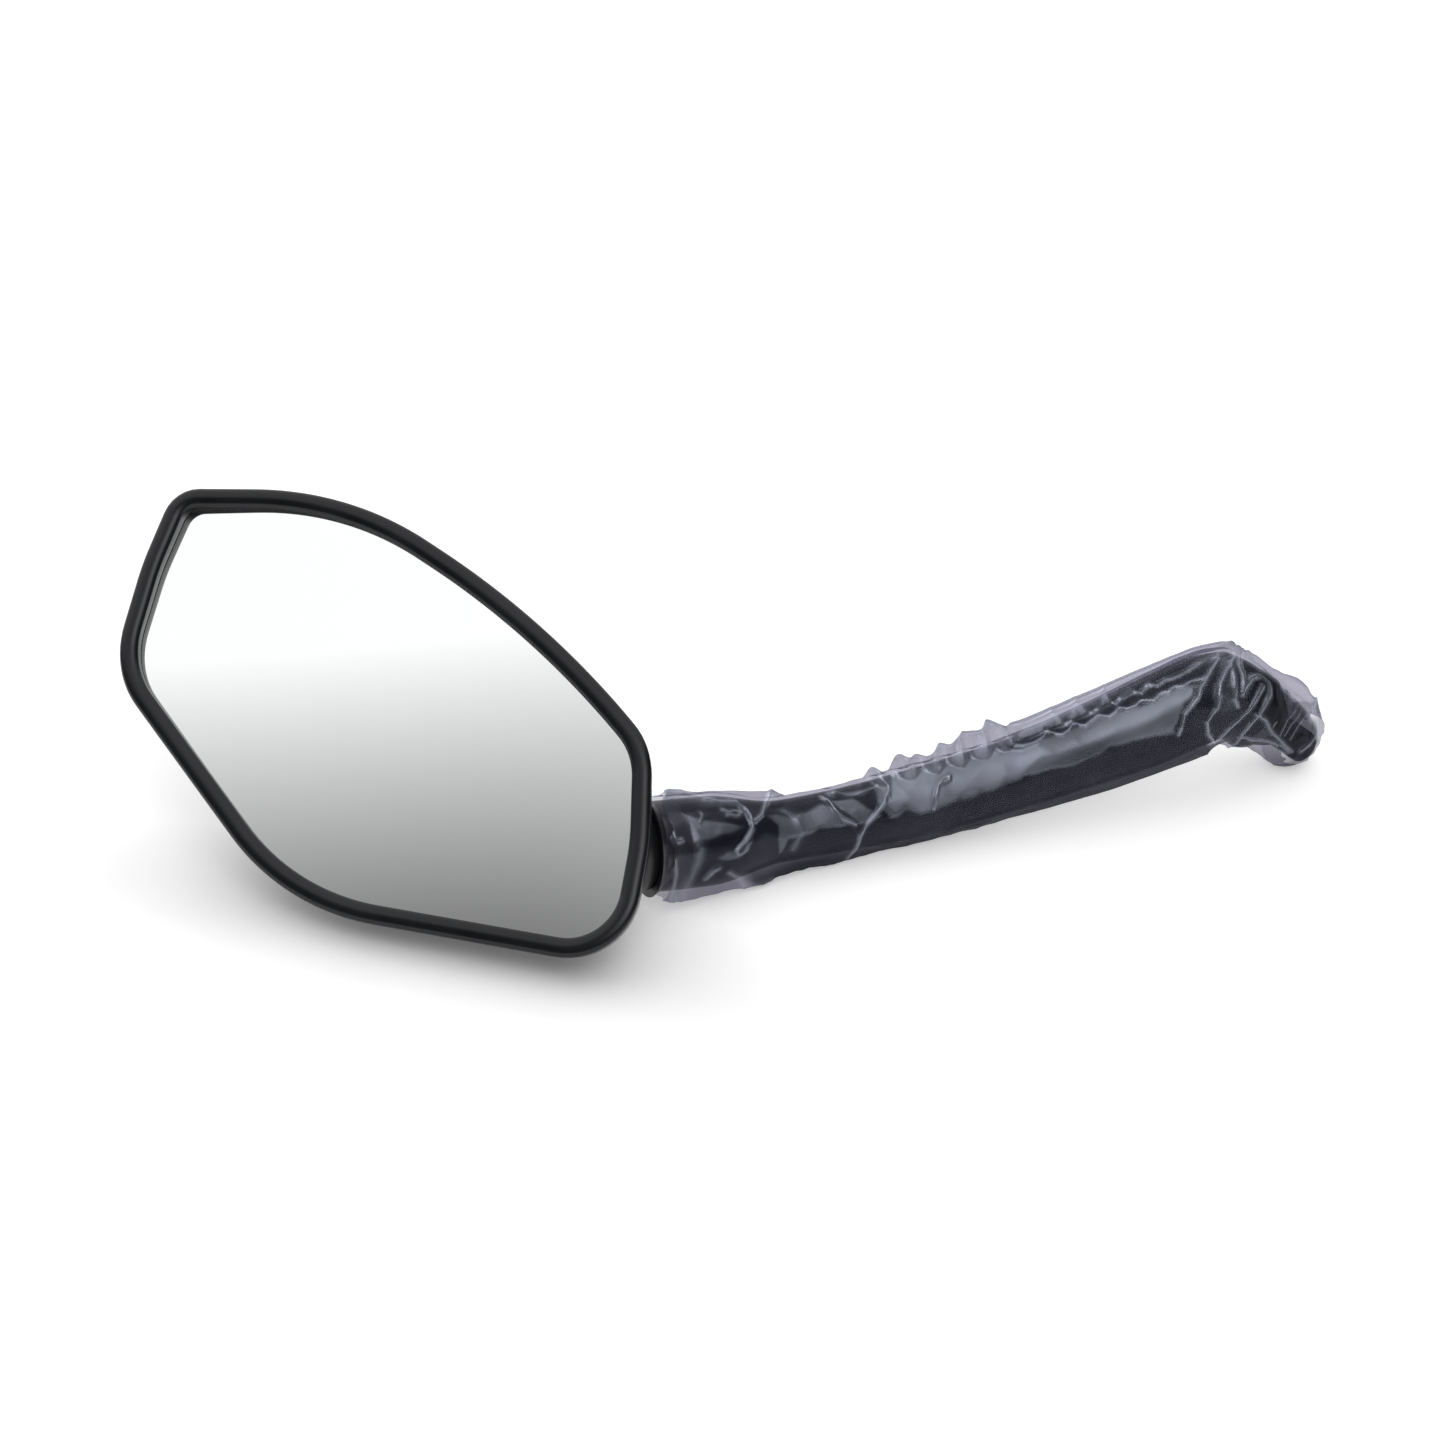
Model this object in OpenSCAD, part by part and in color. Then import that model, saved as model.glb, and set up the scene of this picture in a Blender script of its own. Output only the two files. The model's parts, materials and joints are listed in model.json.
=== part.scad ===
// Motorcycle mirror: a six-sided convex mirror head on a ball joint, a bowed arm with a steel
// rod inside two plastic shells, a threaded foot with its lock nut, and a clear film sleeve.
// The origin lies on the foot stud's axis, midway along its free thread. The mirror lies on
// its back, +X to its foot, +Z up.

/* [Head] */
// Width of the head across its rim
head_w = 165; // [140:1:190]
// Height of the head across its rim
head_h = 113.5; // [96:0.5:132]
// Turn of the head about the upright
head_turn = -20; // [-26:1:-14]
// Tilt of the rim plane from level
head_tilt = 45; // [40:1:50]
// Depth of the back shell behind the rim plane
shell_depth = 44; // [38:1:52]
// Wall of the back shell
shell_wall = 2.4; // [2:0.1:3]
// Width of the rim's bead
bead_w = 5.4; // [4.6:0.1:6.4]
// Height of the rim's bead above the rim plane
bead_h = 2; // [1.2:0.1:2.6]
// Thickness of the mirror glass
glass_t = 3; // [2:0.1:3.6]
// Radius that the mirror glass is curved to
glass_r = 1400; // [1000:50:2000]
// Thickness of the foam pad under the glass
pad_t = 1.5; // [1:0.1:2]
// Width of the foam pad
pad_w = 6; // [4:0.5:7]

/* [Ball joint] */
// Diameter of the steel ball
ball_d = 17; // [15:0.5:19]
// Diameter of the ball's neck
ball_neck_d = 9; // [7.5:0.5:9.5]
// Thickness of the nylon ball seats
seat_t = 1.45; // [1.2:0.05:1.8]
// Wall of the socket around the seats
socket_wall = 3.3; // [2.6:0.1:3.6]
// Half angle of the opening that the neck swings in
socket_mouth = 46; // [43:1:49]
// Thickness of the socket's clamp strap
clamp_t = 2; // [1.6:0.2:2.6]
// Diameter of the clamp screws
clamp_screw_d = 3; // [2.5:0.5:4]
// Length of the clamp springs when tightened
clamp_spring_l = 6; // [5:0.5:7]
// Wall of the skirt that covers the socket
skirt_wall = 2; // [1.6:0.2:2.4]

/* [Arm] */
// Heading of the arm from the ball, about the upright
arm_azimuth = 21.5; // [16:0.5:27]
// Angle that the ball's neck points down
neck_drop = 6.7; // [5:0.1:9]
// Distance from the ball's centre to where the arm starts to bow
neck_l = 22; // [20:0.5:30]
// Radius of the arm's bow
bow_r = 390; // [330:10:470]
// Angle that the bow turns through
bow_turn = 22.3; // [19:0.1:27]
// Radius of the bend above the foot
elbow_r = 18; // [17:0.5:22]
// Angle that the foot points down
foot_drop = 40.5; // [35:0.5:46]
// Thickness of the arm at its collar
collar_t = 24.5; // [22:0.5:27]
// Room across the waist around the rod and the walls of its shells
waist_room = 3.5; // [3:0.5:6]
// Thickness of the arm halfway along
mid_t = 20.5; // [19:0.5:24]
// Thickness of the arm at its elbow
elbow_t = 26; // [24:0.5:28]
// Width of the arm for each millimetre of its thickness
arm_flat = 0.88; // [0.84:0.02:1]
// Wall of the arm shells
arm_wall = 2; // [1.6:0.1:2.2]
// Diameter of the screws that join the arm shells
arm_screw_d = 2.2; // [2:0.1:2.6]

/* [Foot] */
// Diameter of the steel rod
rod_d = 10; // [9:0.5:10]
// How much slimmer than the rod the free thread is over its crests
thread_under = 0.4; // [0.4:0.1:1]
// Free length of thread past the lock nut
free_thread = 15.5; // [12:0.5:22]
// Diameter of the foot collar
foot_d = 22.5; // [21:0.5:24]
// Thickness of the foot collar
foot_collar_t = 3; // [2:0.5:4]
// Thickness of the washer
washer_t = 1.6; // [1.2:0.2:2.4]
// Diameter of the washer
washer_d = 17; // [15:0.5:17]
// Width across the lock nut's flats
nut_af = 14; // [13:0.5:14.5]
// Height of the lock nut
nut_h = 6; // [5:0.5:8]

/* [Film sleeve] */
// Thickness of the film, folded double
film_t = 0.4; // [0.3:0.1:0.8]
// Gap between the arm and the film
film_gap = 0.9; // [0.6:0.1:1.4]
// Extra gap under the film at the neck
film_loose = 0.4; // [0:0.1:1.2]

/* [Hidden] */

running = 0.05;   // radial clearance of a shaft or a ball in its hole
slip = 0.3;       // clearance between pieces that pass each other
seam = 0.05;      // gap between pieces that are pressed face to face
big = 400;        // longer than anything that it cuts

// Corners of the head's outline, anticlockwise: shares of its half width and half height,
// and the corner's radius in millimetres.
HEAD_CORNERS = [[-0.965, 0.915, 10], [-1, 0.51, 76], [-1, -0.045, 28], [-0.16, -1.012, 72],
                [1.018, -0.967, 19], [0.988, -0.37, 67], [0.915, 0.08, 23],
                [0.467, 0.58, 280], [-0.34, 1.056, 102]];
ARC_STEPS = 6;
corners = len(HEAD_CORNERS);

// The back shell's surface, from its shoulder to its crown: scale of the outline about the
// belly, and share of the shell's depth.
BELLY = [0.145, 0];
DOME = [[1, 0.14], [0.985, 0.18], [0.95, 0.235], [0.90, 0.32], [0.84, 0.42], [0.77, 0.53],
        [0.69, 0.65], [0.60, 0.78], [0.49, 0.89], [0.36, 0.96], [0.2, 0.995]];
belly = [BELLY[0] * head_w / 2, BELLY[1] * head_h / 2];

// The rim and what it holds
glass_inset = bead_w - 1.8;                  // from the outline to the glass's edge
glass_top = bead_h - 1.4;                    // crown of the glass above the rim plane
bezel_bottom = -shell_depth * DOME[0][1] + seam;
BEAD_STEPS = 8;
bead_round = 0.8;                            // share of the bead's height that is rounded
lip_gap = 0.1;                               // from the glass to the bead's lip above it
edge_gap = 0.2;                              // from the glass's edge to the bezel
GLASS_RINGS = [0.02, 0.3, 0.55, 0.8, 1];     // scales of the outline where the glass bends
ledge_drop = seam + pad_t + seam;            // from the glass's underside to the shell's ledge
ledge_t = 2;
ledge_inset = glass_inset + pad_w + 1;
spigot_inset = glass_inset - 0.2;            // the shell's edge inside the bezel
shoulder_inset = 2.4;                        // the shell's widest place, under the bezel

// The ball joint, in the frame of the ball's neck
ball_r = ball_d / 2;
seat_r = ball_r + running;                   // inside of the nylon seats
seat_out = seat_r + seat_t;
socket_r = seat_out + running;
boss_r = socket_r + socket_wall;
skirt_in = boss_r + slip;
skirt_out = skirt_in + skirt_wall;
recess_r = skirt_out + slip + 2 * running;
recess_wall = 2.2;
recess_floor = 1;                            // where the recess starts, past the ball's centre
neck_r = ball_neck_d / 2;
seat_edge = ball_r * 0.5;                    // where the nylon cup starts, behind the centre
ring_edge = ball_r * 0.17;                   // where the nylon ring ends, before the centre
skirt_edge = 60;                             // the skirt's edge, as an angle from the neck
hub_r = neck_r + 2.5;
clamp_seat = socket_r * 0.7;                 // from the ball's centre to the clamp's seat
clamp_back = clamp_seat + seam + clamp_t;
cap_r = socket_r + clamp_t;
CAP_STEPS = 8;
cup_hole_r = ball_r / 3;
ear_pitch = boss_r + clamp_screw_d / 2 + 0.5;
ear_r = clamp_screw_d / 2 + 1.8;
ear_l = clamp_seat - 0.5;
clamp_bite = ear_l - 1.2;                    // depth of the clamp screws in the socket's ears
clamp_stack = seam + clamp_t + clamp_spring_l + 2 * seam;
clamp_head_r = clamp_screw_d * 0.9;
clamp_head_t = clamp_screw_d * 0.6;
spring_wire = 0.8;
liner_top = 8.5;                             // the recess's liner stays this far under the rim
ball_place = [head_w / 2 - 17, -20];         // where the ball lies behind the glass
ball_room = 1.9249;                          // from the glass to the ball
ball_in_head = [ball_place[0], ball_place[1],
                glass_top - ball_place * ball_place / (2 * glass_r) - glass_t - ball_d - ball_room];
neck_way = rotated([cos(neck_drop), 0, -sin(neck_drop)], arm_azimuth);
glass_way = rotated([0, -sin(head_tilt), cos(head_tilt)], head_turn);
ear_way = unit(cross(neck_way, glass_way));  // across the neck, level with the glass
neck_down = rotated([-sin(neck_drop), 0, -cos(neck_drop)], arm_azimuth);
neck_side = rotated([0, 1, 0], arm_azimuth);
ear_lift = 30;                               // turn of the clamp's ears, clear of the dome
ear_turn = atan2(ear_way * neck_side, ear_way * neck_down) - ear_lift;

// The arm's centreline, by length from the ball's centre
bow_end = bow_turn - neck_drop;
elbow_turn = bow_end + foot_drop;
bow_l = bow_r * bow_turn * PI / 180;
elbow_l = elbow_r * elbow_turn * PI / 180;
s_bow = neck_l;
s_elbow = s_bow + bow_l;
s_foot = s_elbow + elbow_l;
arm_start = skirt_out + 0.6;
s_face = s_foot + 2;                         // the arm shells' foot face
s_washer = s_face + foot_collar_t + seam;
s_nut = s_washer + washer_t + seam;
s_free = s_nut + nut_h + 0.4;                // where the free thread starts
s_mount = s_free + free_thread / 2;
chamfer = 1;
s_tip = s_free + free_thread + chamfer;
elbow_out = elbow_r + elbow_t / 2;
elbow_crown = 0.3;                           // 0 leaves the elbow's back round, 1 makes it sharp
rod_gap = 0.3;                               // from the rod to the shells' screw bosses
rod_start = skirt_out + 4;
spigot_r = 3;
spigot_l = 12;
bush_l = 7;
// Where the arm's screws stand along it, and their side. The last is clear of the foot's bush.
SCREWS = [[arm_start + 7.0893, 1], [s_elbow - 31.5082, -1], [s_elbow - bush_l - 4.0279, 1]];
boss_screw_r = arm_screw_d / 2 + 1.1;        // the shells' bosses around their screws
screw_head_r = arm_screw_d * 0.9;
screw_head_t = 1.4;
screw_off = rod_d / 2 + rod_gap + boss_screw_r;
boss_l = 5;
boss_end = 0.6;                              // closed end of the front shell's bosses
slot_w = 0.5;                                // width and depth of the screws' cross slots
s_neck_bush = arm_start + bush_l * 1.9;      // clear of the first screw's bosses
SKIN_STEPS = 12;
ROD_SIDES = 24;
foot_lap = 0.6;                              // the bent length ends this far inside the foot
foot_root = s_free - s_foot - foot_lap / 2;  // length of the foot's thicker root
foot_end = foot_root + free_thread + chamfer;
waist_t = rod_d + 2 * arm_wall + waist_room; // thickness of the arm at its waist
bar_r = rod_d / 2 - 0.02;                    // the bent length, a hair slimmer than the foot
stud_r = (rod_d - thread_under) / 2;
FILM_SIDES = 24;
film_start = arm_start - 5.4;                // the film starts over the skirt
film_end = s_tip - 2.4;                      // the stud's tip stands out of the film
nut_travel = 7.5;                            // six turns of a 1.25 mm thread
nut_clear = max(nut_af / cos(30), washer_d) / 2 - film_gap + slip;  // room round the nut
stud_clear = rod_d / 2;                      // the film closes round the stud past the nut

mount_at = path(s_mount);
ball_at = rotated([-mount_at[0], 0, -mount_at[1]], arm_azimuth);

// ---------- Functions ----------

function unit(a) = a / norm(a);
function left_of(a) = [-a[1], a[0]];
function rotated(p, a) = [p[0] * cos(a) - p[1] * sin(a), p[0] * sin(a) + p[1] * cos(a), p[2]];
function ease(t) = let (c = max(0, min(1, t))) c * c * (3 - 2 * c);

function corner(i) = [HEAD_CORNERS[i][0] * head_w, HEAD_CORNERS[i][1] * head_h] / 2;
function edge(i) = corner((i + 1) % corners) - corner(i);
function side(i) = unit(edge(i));
function turn_at(i) = acos(side((i + corners - 1) % corners) * side(i));
function tangent(i) = HEAD_CORNERS[i][2] * tan(turn_at(i) / 2);
// Share of the radii that the edge after corner i has room for
function room(i) = min(1, norm(edge(i)) / (tangent(i) + tangent((i + 1) % corners)));

// One rounded corner of the outline, moved inward by k
function corner_arc(i, k) =
    let (before = side((i + corners - 1) % corners),
         after = side(i),
         r = HEAD_CORNERS[i][2] * min(room(i), room((i + corners - 1) % corners)),
         inward = (left_of(before) + left_of(after)) / (1 + before * after),
         centre = corner(i) + inward * r,
         start = atan2(-left_of(before)[1], -left_of(before)[0]),
         turn = turn_at(i))
    [for (j = [0 : ARC_STEPS])
        centre + max(r - k, 0.6) * [cos(start + turn * j / ARC_STEPS),
                                    sin(start + turn * j / ARC_STEPS)]];
function outline(k) = [for (i = [0 : corners - 1]) each corner_arc(i, k)];

// Height of the glass's upper side at a point, and of its underside
function glass_z(p) = glass_top - (p * p) / (2 * glass_r);
function under_z(p) = glass_z(p) - glass_t;

// A ring of the head: the outline moved inward by k, at height z
function flat_ring(k, z) = [for (p = outline(k)) [p[0], p[1], z]];
// The same, at a height measured from the underside of the glass
function under_ring(k, drop) = [for (p = outline(k)) [p[0], p[1], under_z(p) - drop]];
function on_glass(p, below) = [p[0], p[1], glass_z(p) - below];
// The same, at a height above the upper side of the glass
function lip_ring(k, gap) = [for (p = outline(k)) [p[0], p[1], glass_z(p) + gap]];
// A ring of the dome: row i of DOME, moved inward by t
function dome_ring(i, t) =
    [for (p = outline(shoulder_inset + t))
        let (q = belly + DOME[i][0] * (p - belly))
        [q[0], q[1], t * dome_lift(i) - DOME[i][1] * shell_depth]];
// How much of the wall lies upright at row i of DOME
function dome_lift(i) = ease((i - 2) / 5);

function heading(s) =
    s < s_bow ? -neck_drop :
    s < s_elbow ? -neck_drop + (s - s_bow) / bow_r * 180 / PI :
    s < s_foot ? bow_end - (s - s_elbow) / elbow_r * 180 / PI : -foot_drop;
function path(s) =
    s <= s_bow ? s * [cos(neck_drop), -sin(neck_drop)] :
    s <= s_elbow ? path(s_bow) + bow_r * [sin(heading(s)) + sin(neck_drop),
                                          cos(neck_drop) - cos(heading(s))] :
    s <= s_foot ? path(s_elbow) + elbow_r * [sin(bow_end) - sin(heading(s)),
                                             cos(heading(s)) - cos(bow_end)] :
    path(s_foot) + (s - s_foot) * [cos(foot_drop), -sin(foot_drop)];

// Thickness of the arm at length s from the ball's centre
function arm_t(s) =
    let (f = (s - arm_start) / (s_elbow - arm_start))
    f < 0.06 ? collar_t :
    f < 0.20 ? collar_t + (waist_t - collar_t) * ease((f - 0.06) / 0.14) :
    f < 0.60 ? waist_t + (mid_t - waist_t) * ease((f - 0.20) / 0.40) :
    f < 1 ? mid_t + (elbow_t - mid_t) * ease((f - 0.60) / 0.40) :
    elbow_t + (foot_d - elbow_t) * ease((s - s_elbow) / (s_face - s_elbow));
// The arm's width: round at both ends, flatter between
function arm_w(s) =
    let (f = (s - arm_start) / (s_elbow - arm_start),
         flat = f < 0.2 ? ease(f / 0.2) :
                f < 1 ? 1 : 1 - ease((s - s_elbow) / (s_face - s_elbow)))
    arm_t(s) * (1 - (1 - arm_flat) * flat);
// Extra height on the back of the elbow, which draws it to a blunt point
function crown(s) =
    let (a = s < s_elbow || s > s_foot ? 0 :
             min(bow_end - heading(s), heading(s) + foot_drop))
    elbow_crown * elbow_out * (1 / cos(a) - 1);

// A point beside the path: a across it in the arm's plane, b out of that plane
function beside(s, a, b) =
    let (c = path(s), d = heading(s))
    [c[0] - a * sin(d), b, c[1] + a * cos(d)];
function section_point(s, grow, angle) =
    let (up = arm_t(s) / 2 + grow + (sin(angle) > 0 ? crown(s) * sin(angle) : 0))
    beside(s, up * sin(angle), (arm_w(s) / 2 + grow) * cos(angle));

// Stations along the arm, closer together round the elbow
BOW_STEP = 7;
ELBOW_STEPS = 9;
function stations(from, to) =
    let (n = ceil((s_elbow - from) / BOW_STEP))
    [for (i = [0 : n - 1]) from + (s_elbow - from) * i / n,
     for (i = [0 : ELBOW_STEPS]) s_elbow + elbow_l * i / ELBOW_STEPS,
     to];

// Faces of a grid of rings. A loop joins the last ring to the first; otherwise the end rings
// are closed.
function grid_faces(rows, cols, loop = false) =
    [for (r = [0 : rows - (loop ? 1 : 2)]) for (c = [0 : cols - 1])
        let (a = r * cols + c,
             b = r * cols + (c + 1) % cols,
             d = ((r + 1) % rows) * cols + c,
             e = ((r + 1) % rows) * cols + (c + 1) % cols)
        each [[a, b, e], [a, e, d]],
     if (!loop) [for (c = [cols - 1 : -1 : 0]) c],
     if (!loop) [for (c = [0 : cols - 1]) (rows - 1) * cols + c]];

// ---------- Frames ----------

// The ball's centre, with X along the arm's heading
module at_ball() translate(ball_at) rotate([0, 0, arm_azimuth]) children();
// Length s along the arm's centreline, with Z along the arm and -X up across it
module at_path(s) at_ball() translate([path(s)[0], 0, path(s)[1]])
    rotate([0, 90 - heading(s), 0]) children();
// The ball's centre, with Z along its neck and X towards the clamp's ears
module at_socket() at_path(0) rotate([0, 0, ear_turn]) children();
// The centre of the rim plane, with X along the head's width and Z out of the glass
module at_head() translate(ball_at) rotate([head_tilt, 0, head_turn])
    translate(-ball_in_head) children();

module rings(list, loop = false)
    polyhedron([for (r = list) each r], grid_faces(len(list), len(list[0]), loop), 4);

module tube(r_out, r_in, h) difference() {
    cylinder(r = r_out, h = h, $fn = 96);
    translate([0, 0, -1]) cylinder(r = r_in, h = h + 2, $fn = 96);
}

// ---------- Head ----------

// The dome as one solid, without the ledge and the spigot
module dome_solid() rings([
    flat_ring(spigot_inset, bezel_bottom - seam),
    for (i = [0 : len(DOME) - 1]) dome_ring(i, 0)]);

// The dome's wall, its spigot inside the bezel and the ledge under the foam pad
module dome_wall() rings([
    for (i = [len(DOME) - 1 : -1 : 2]) dome_ring(i, shell_wall),
    under_ring(spigot_inset + shell_wall * 0.8, ledge_drop + ledge_t),
    under_ring(ledge_inset, ledge_drop + ledge_t),
    under_ring(ledge_inset, ledge_drop),
    under_ring(spigot_inset, ledge_drop),
    flat_ring(spigot_inset, bezel_bottom - seam),
    for (i = [0 : len(DOME) - 1]) dome_ring(i, 0)]);

// The part of a ball on the arm's side of height z
module ball_cap(r, z) intersection() {
    sphere(r = r, $fn = 96);
    translate([-big / 2, -big / 2, z]) cube(big);
}

// A clamp screw's place, on each side of the socket
module at_ears() at_socket() for (turn = [0, 180]) rotate([0, 0, turn])
    translate([ear_pitch, 0, -clamp_seat]) children();

module recess_liner() intersection() {
    at_head() dome_solid();
    at_head() translate([-big / 2, -big / 2, -big - liner_top]) cube(big);
    at_path(0) ball_cap(recess_r + recess_wall, recess_floor - recess_wall);
}

module socket_body() {
    at_path(0) {
        ball_cap(boss_r, -clamp_seat);
        translate([0, 0, -clamp_seat]) cylinder(r = boss_r, h = clamp_seat, $fn = 96);
    }
    at_ears() cylinder(r = ear_r, h = ear_l, $fn = 48);
    at_socket() translate([-ear_pitch, -ear_r / 2, -clamp_seat])
        cube([2 * ear_pitch, ear_r, ear_l]);
}

module socket_hollow() {
    at_path(0) {
        sphere(r = socket_r, $fn = 96);
        translate([0, 0, -boss_r - 1]) cylinder(r = socket_r, h = boss_r + 1, $fn = 96);
        cylinder(r1 = 0, r2 = big * tan(socket_mouth) / 8, h = big / 8, $fn = 96);
    }
    at_ears() translate([0, 0, -1])
        cylinder(d = clamp_screw_d + 2 * running, h = clamp_bite + 2, $fn = 48);
}

module head_shell() color([0.05, 0.05, 0.06]) difference() {
    union() {
        difference() {
            union() {
                at_head() dome_wall();
                recess_liner();
            }
            at_path(0) ball_cap(recess_r, recess_floor);
        }
        socket_body();
    }
    socket_hollow();
}

module rim_bezel() color([0.03, 0.03, 0.035]) at_head() rings([
    flat_ring(spigot_inset - seam, bezel_bottom),
    under_ring(glass_inset - edge_gap, seam),
    lip_ring(glass_inset - edge_gap, lip_gap),
    lip_ring(bead_w, lip_gap),
    for (i = [BEAD_STEPS : -1 : 0])
        let (a = 180 * i / BEAD_STEPS)
        flat_ring(bead_w * (1 - cos(a)) / 2, bead_h * (1 - bead_round + bead_round * sin(a))),
    flat_ring(shoulder_inset * 0.35, bezel_bottom * 0.55),
    flat_ring(shoulder_inset * 0.75, bezel_bottom * 0.9),
    flat_ring(shoulder_inset, bezel_bottom)], true);

module mirror_glass() color([0.8, 0.82, 0.85]) at_head() rings([
    for (share = GLASS_RINGS) [for (p = outline(glass_inset)) on_glass(share * p, 0)],
    for (i = [len(GLASS_RINGS) - 1 : -1 : 0])
        [for (p = outline(glass_inset)) on_glass(GLASS_RINGS[i] * p, glass_t)]]);

module glass_pad() color([0.15, 0.15, 0.16]) at_head() rings([
    under_ring(glass_inset + 0.6, seam),
    under_ring(glass_inset + 0.6, seam + pad_t),
    under_ring(glass_inset + 0.6 + pad_w, seam + pad_t),
    under_ring(glass_inset + 0.6 + pad_w, seam)], true);

// The strap across the socket, with a cap that presses the nylon cup onto the ball
module socket_clamp() color([0.55, 0.56, 0.58]) {
    at_path(0) rotate_extrude($fn = 96) polygon([
        each cap_arc(socket_r, acos(seat_edge / socket_r), asin(cup_hole_r / socket_r)),
        each cap_arc(cap_r, asin(cup_hole_r / cap_r), acos(clamp_back / cap_r)),
        [socket_r - running, -clamp_back],
        [socket_r - running, -seat_edge]]);
    difference() {
        union() {
            at_socket() translate([-ear_pitch, -ear_r, -clamp_back])
                cube([2 * ear_pitch, 2 * ear_r, clamp_t]);
            at_ears() translate([0, 0, -seam - clamp_t])
                cylinder(r = ear_r, h = clamp_t, $fn = 48);
        }
        at_path(0) translate([0, 0, -big / 2])
            cylinder(r = socket_r - clamp_t / 2, h = big, $fn = 96);
        at_ears() translate([0, 0, -big / 2])
            cylinder(d = clamp_screw_d + slip, h = big, $fn = 48);
    }
}
// An arc behind the ball, by angles from the axis
function cap_arc(r, from, to) =
    [for (i = [0 : CAP_STEPS])
        let (a = from + (to - from) * i / CAP_STEPS)
        [r * sin(a), -r * cos(a)]];

module clamp_screws() color([0.7, 0.71, 0.73]) at_ears() {
    translate([0, 0, -clamp_stack])
        cylinder(d = clamp_screw_d, h = clamp_stack + clamp_bite, $fn = 48);
    difference() {
        translate([0, 0, -clamp_stack - clamp_head_t])
            cylinder(r = clamp_head_r, h = clamp_head_t, $fn = 48);
        translate([0, 0, -clamp_stack - clamp_head_t - 1])
            cylinder(r = clamp_screw_d / 3, h = clamp_head_t, $fn = 6);
    }
}

// A coil spring with its ends at height 0 and height l
module coil_spring(r, wire, turns, l) {
    steps = 14 * turns;
    slope = atan((l - wire) / (2 * PI * r * turns));
    rings([for (i = [0 : steps])
        let (a = 360 * turns * i / steps)
        [for (j = [0 : 7])
            let (b = 45 * j,
                 out = r + wire / 2 * cos(b),
                 up = wire / 2 * sin(b))
            [out * cos(a) + up * sin(slope) * sin(a), out * sin(a) - up * sin(slope) * cos(a),
             wire / 2 + (l - wire) * i / steps + up * cos(slope)]]]);
}

module clamp_springs() color([0.6, 0.6, 0.62]) at_ears()
    translate([0, 0, -clamp_stack + seam])
        coil_spring(clamp_screw_d / 2 + spring_wire / 2 + slip, spring_wire, 4, clamp_spring_l);

// ---------- Ball joint ----------

module seat_ring() color([0.85, 0.84, 0.8]) at_path(0) difference() {
    ball_cap(seat_out, ring_edge);
    sphere(r = seat_r, $fn = 96);
    cylinder(r = neck_r + slip, h = big, $fn = 96);
}

module seat_cup() color([0.85, 0.84, 0.8]) at_path(0) difference() {
    sphere(r = seat_out, $fn = 96);
    sphere(r = seat_r, $fn = 96);
    translate([0, 0, -seat_edge]) cylinder(r = boss_r, h = 2 * boss_r, $fn = 96);
    translate([0, 0, -2 * boss_r]) cylinder(r = cup_hole_r, h = 2 * boss_r, $fn = 48);
}

module ball_stud() color([0.62, 0.63, 0.65]) at_path(0) {
    sphere(r = ball_r, $fn = 96);
    cylinder(r = neck_r, h = rod_start - seam, $fn = 96);
    cylinder(r = spigot_r, h = rod_start + spigot_l, $fn = 96);
}

// The bell that covers the socket, with a hub that stands in the arm's open end
module neck_skirt() color([0.05, 0.05, 0.06]) at_path(0) difference() {
    union() {
        ball_cap(skirt_out, skirt_out * cos(skirt_edge));
        translate([0, 0, skirt_out / 2])
            cylinder(d = collar_t, h = arm_start - seam - skirt_out / 2, $fn = 96);
        cylinder(r = hub_r, h = rod_start - slip, $fn = 96);
    }
    sphere(r = skirt_in, $fn = 96);
    cylinder(r = neck_r + running, h = big, $fn = 96);
}

// ---------- Arm ----------

// The rod's bent length is a sweep that ends inside its straight, threaded foot
module stem_rod() color([0.3, 0.3, 0.32]) difference() {
    union() {
        at_ball() rings([for (s = stations(rod_start, s_foot + foot_lap))
            [for (j = [0 : ROD_SIDES - 1])
                beside(s, bar_r * cos(360 * j / ROD_SIDES), bar_r * sin(360 * j / ROD_SIDES))]]);
        at_path(s_foot + foot_lap / 2) rotate_extrude($fn = 96) polygon([
            [0, 0], [rod_d / 2, 0], [rod_d / 2, foot_root], [stud_r, foot_root],
            [stud_r, foot_root + free_thread], [stud_r - chamfer, foot_end],
            [0, foot_end]]);
    }
    at_path(0) translate([0, 0, rod_start - 1])
        cylinder(r = spigot_r + running, h = spigot_l + 2, $fn = 96);
}

// One half of the arm's skin: side is -1 for the front and 1 for the rear
module half_skin(side) at_ball() rings([
    for (s = stations(arm_start, s_face)) [
        for (j = [0 : SKIN_STEPS]) skin_point(s, side < 0 ? -arm_wall : 0, side, j),
        for (j = [SKIN_STEPS : -1 : 0]) skin_point(s, side < 0 ? 0 : -arm_wall, side, j)]]);
function skin_point(s, grow, side, j) =
    seam_side(section_point(s, grow, 90 - side * 180 * j / SKIN_STEPS), side);
function seam_side(p, side) = [p[0], p[1] + side * seam / 2, p[2]];

// The arm's screws lie across it, beside the rod. Z points to the rear, from the parting plane.
module at_screws() for (screw = SCREWS)
    at_path(screw[0]) translate([-screw[1] * screw_off, 0, 0]) rotate([-90, 0, 0]) children();

module arm_front_shell() color([0.05, 0.05, 0.07]) difference() {
    union() {
        half_skin(-1);
        at_screws() translate([0, 0, -boss_l])
            cylinder(r = boss_screw_r, h = boss_l - seam / 2, $fn = 48);
    }
    at_screws() translate([0, 0, boss_end - boss_l])
        cylinder(d = arm_screw_d + 2 * running, h = boss_l, $fn = 48);
}

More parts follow.
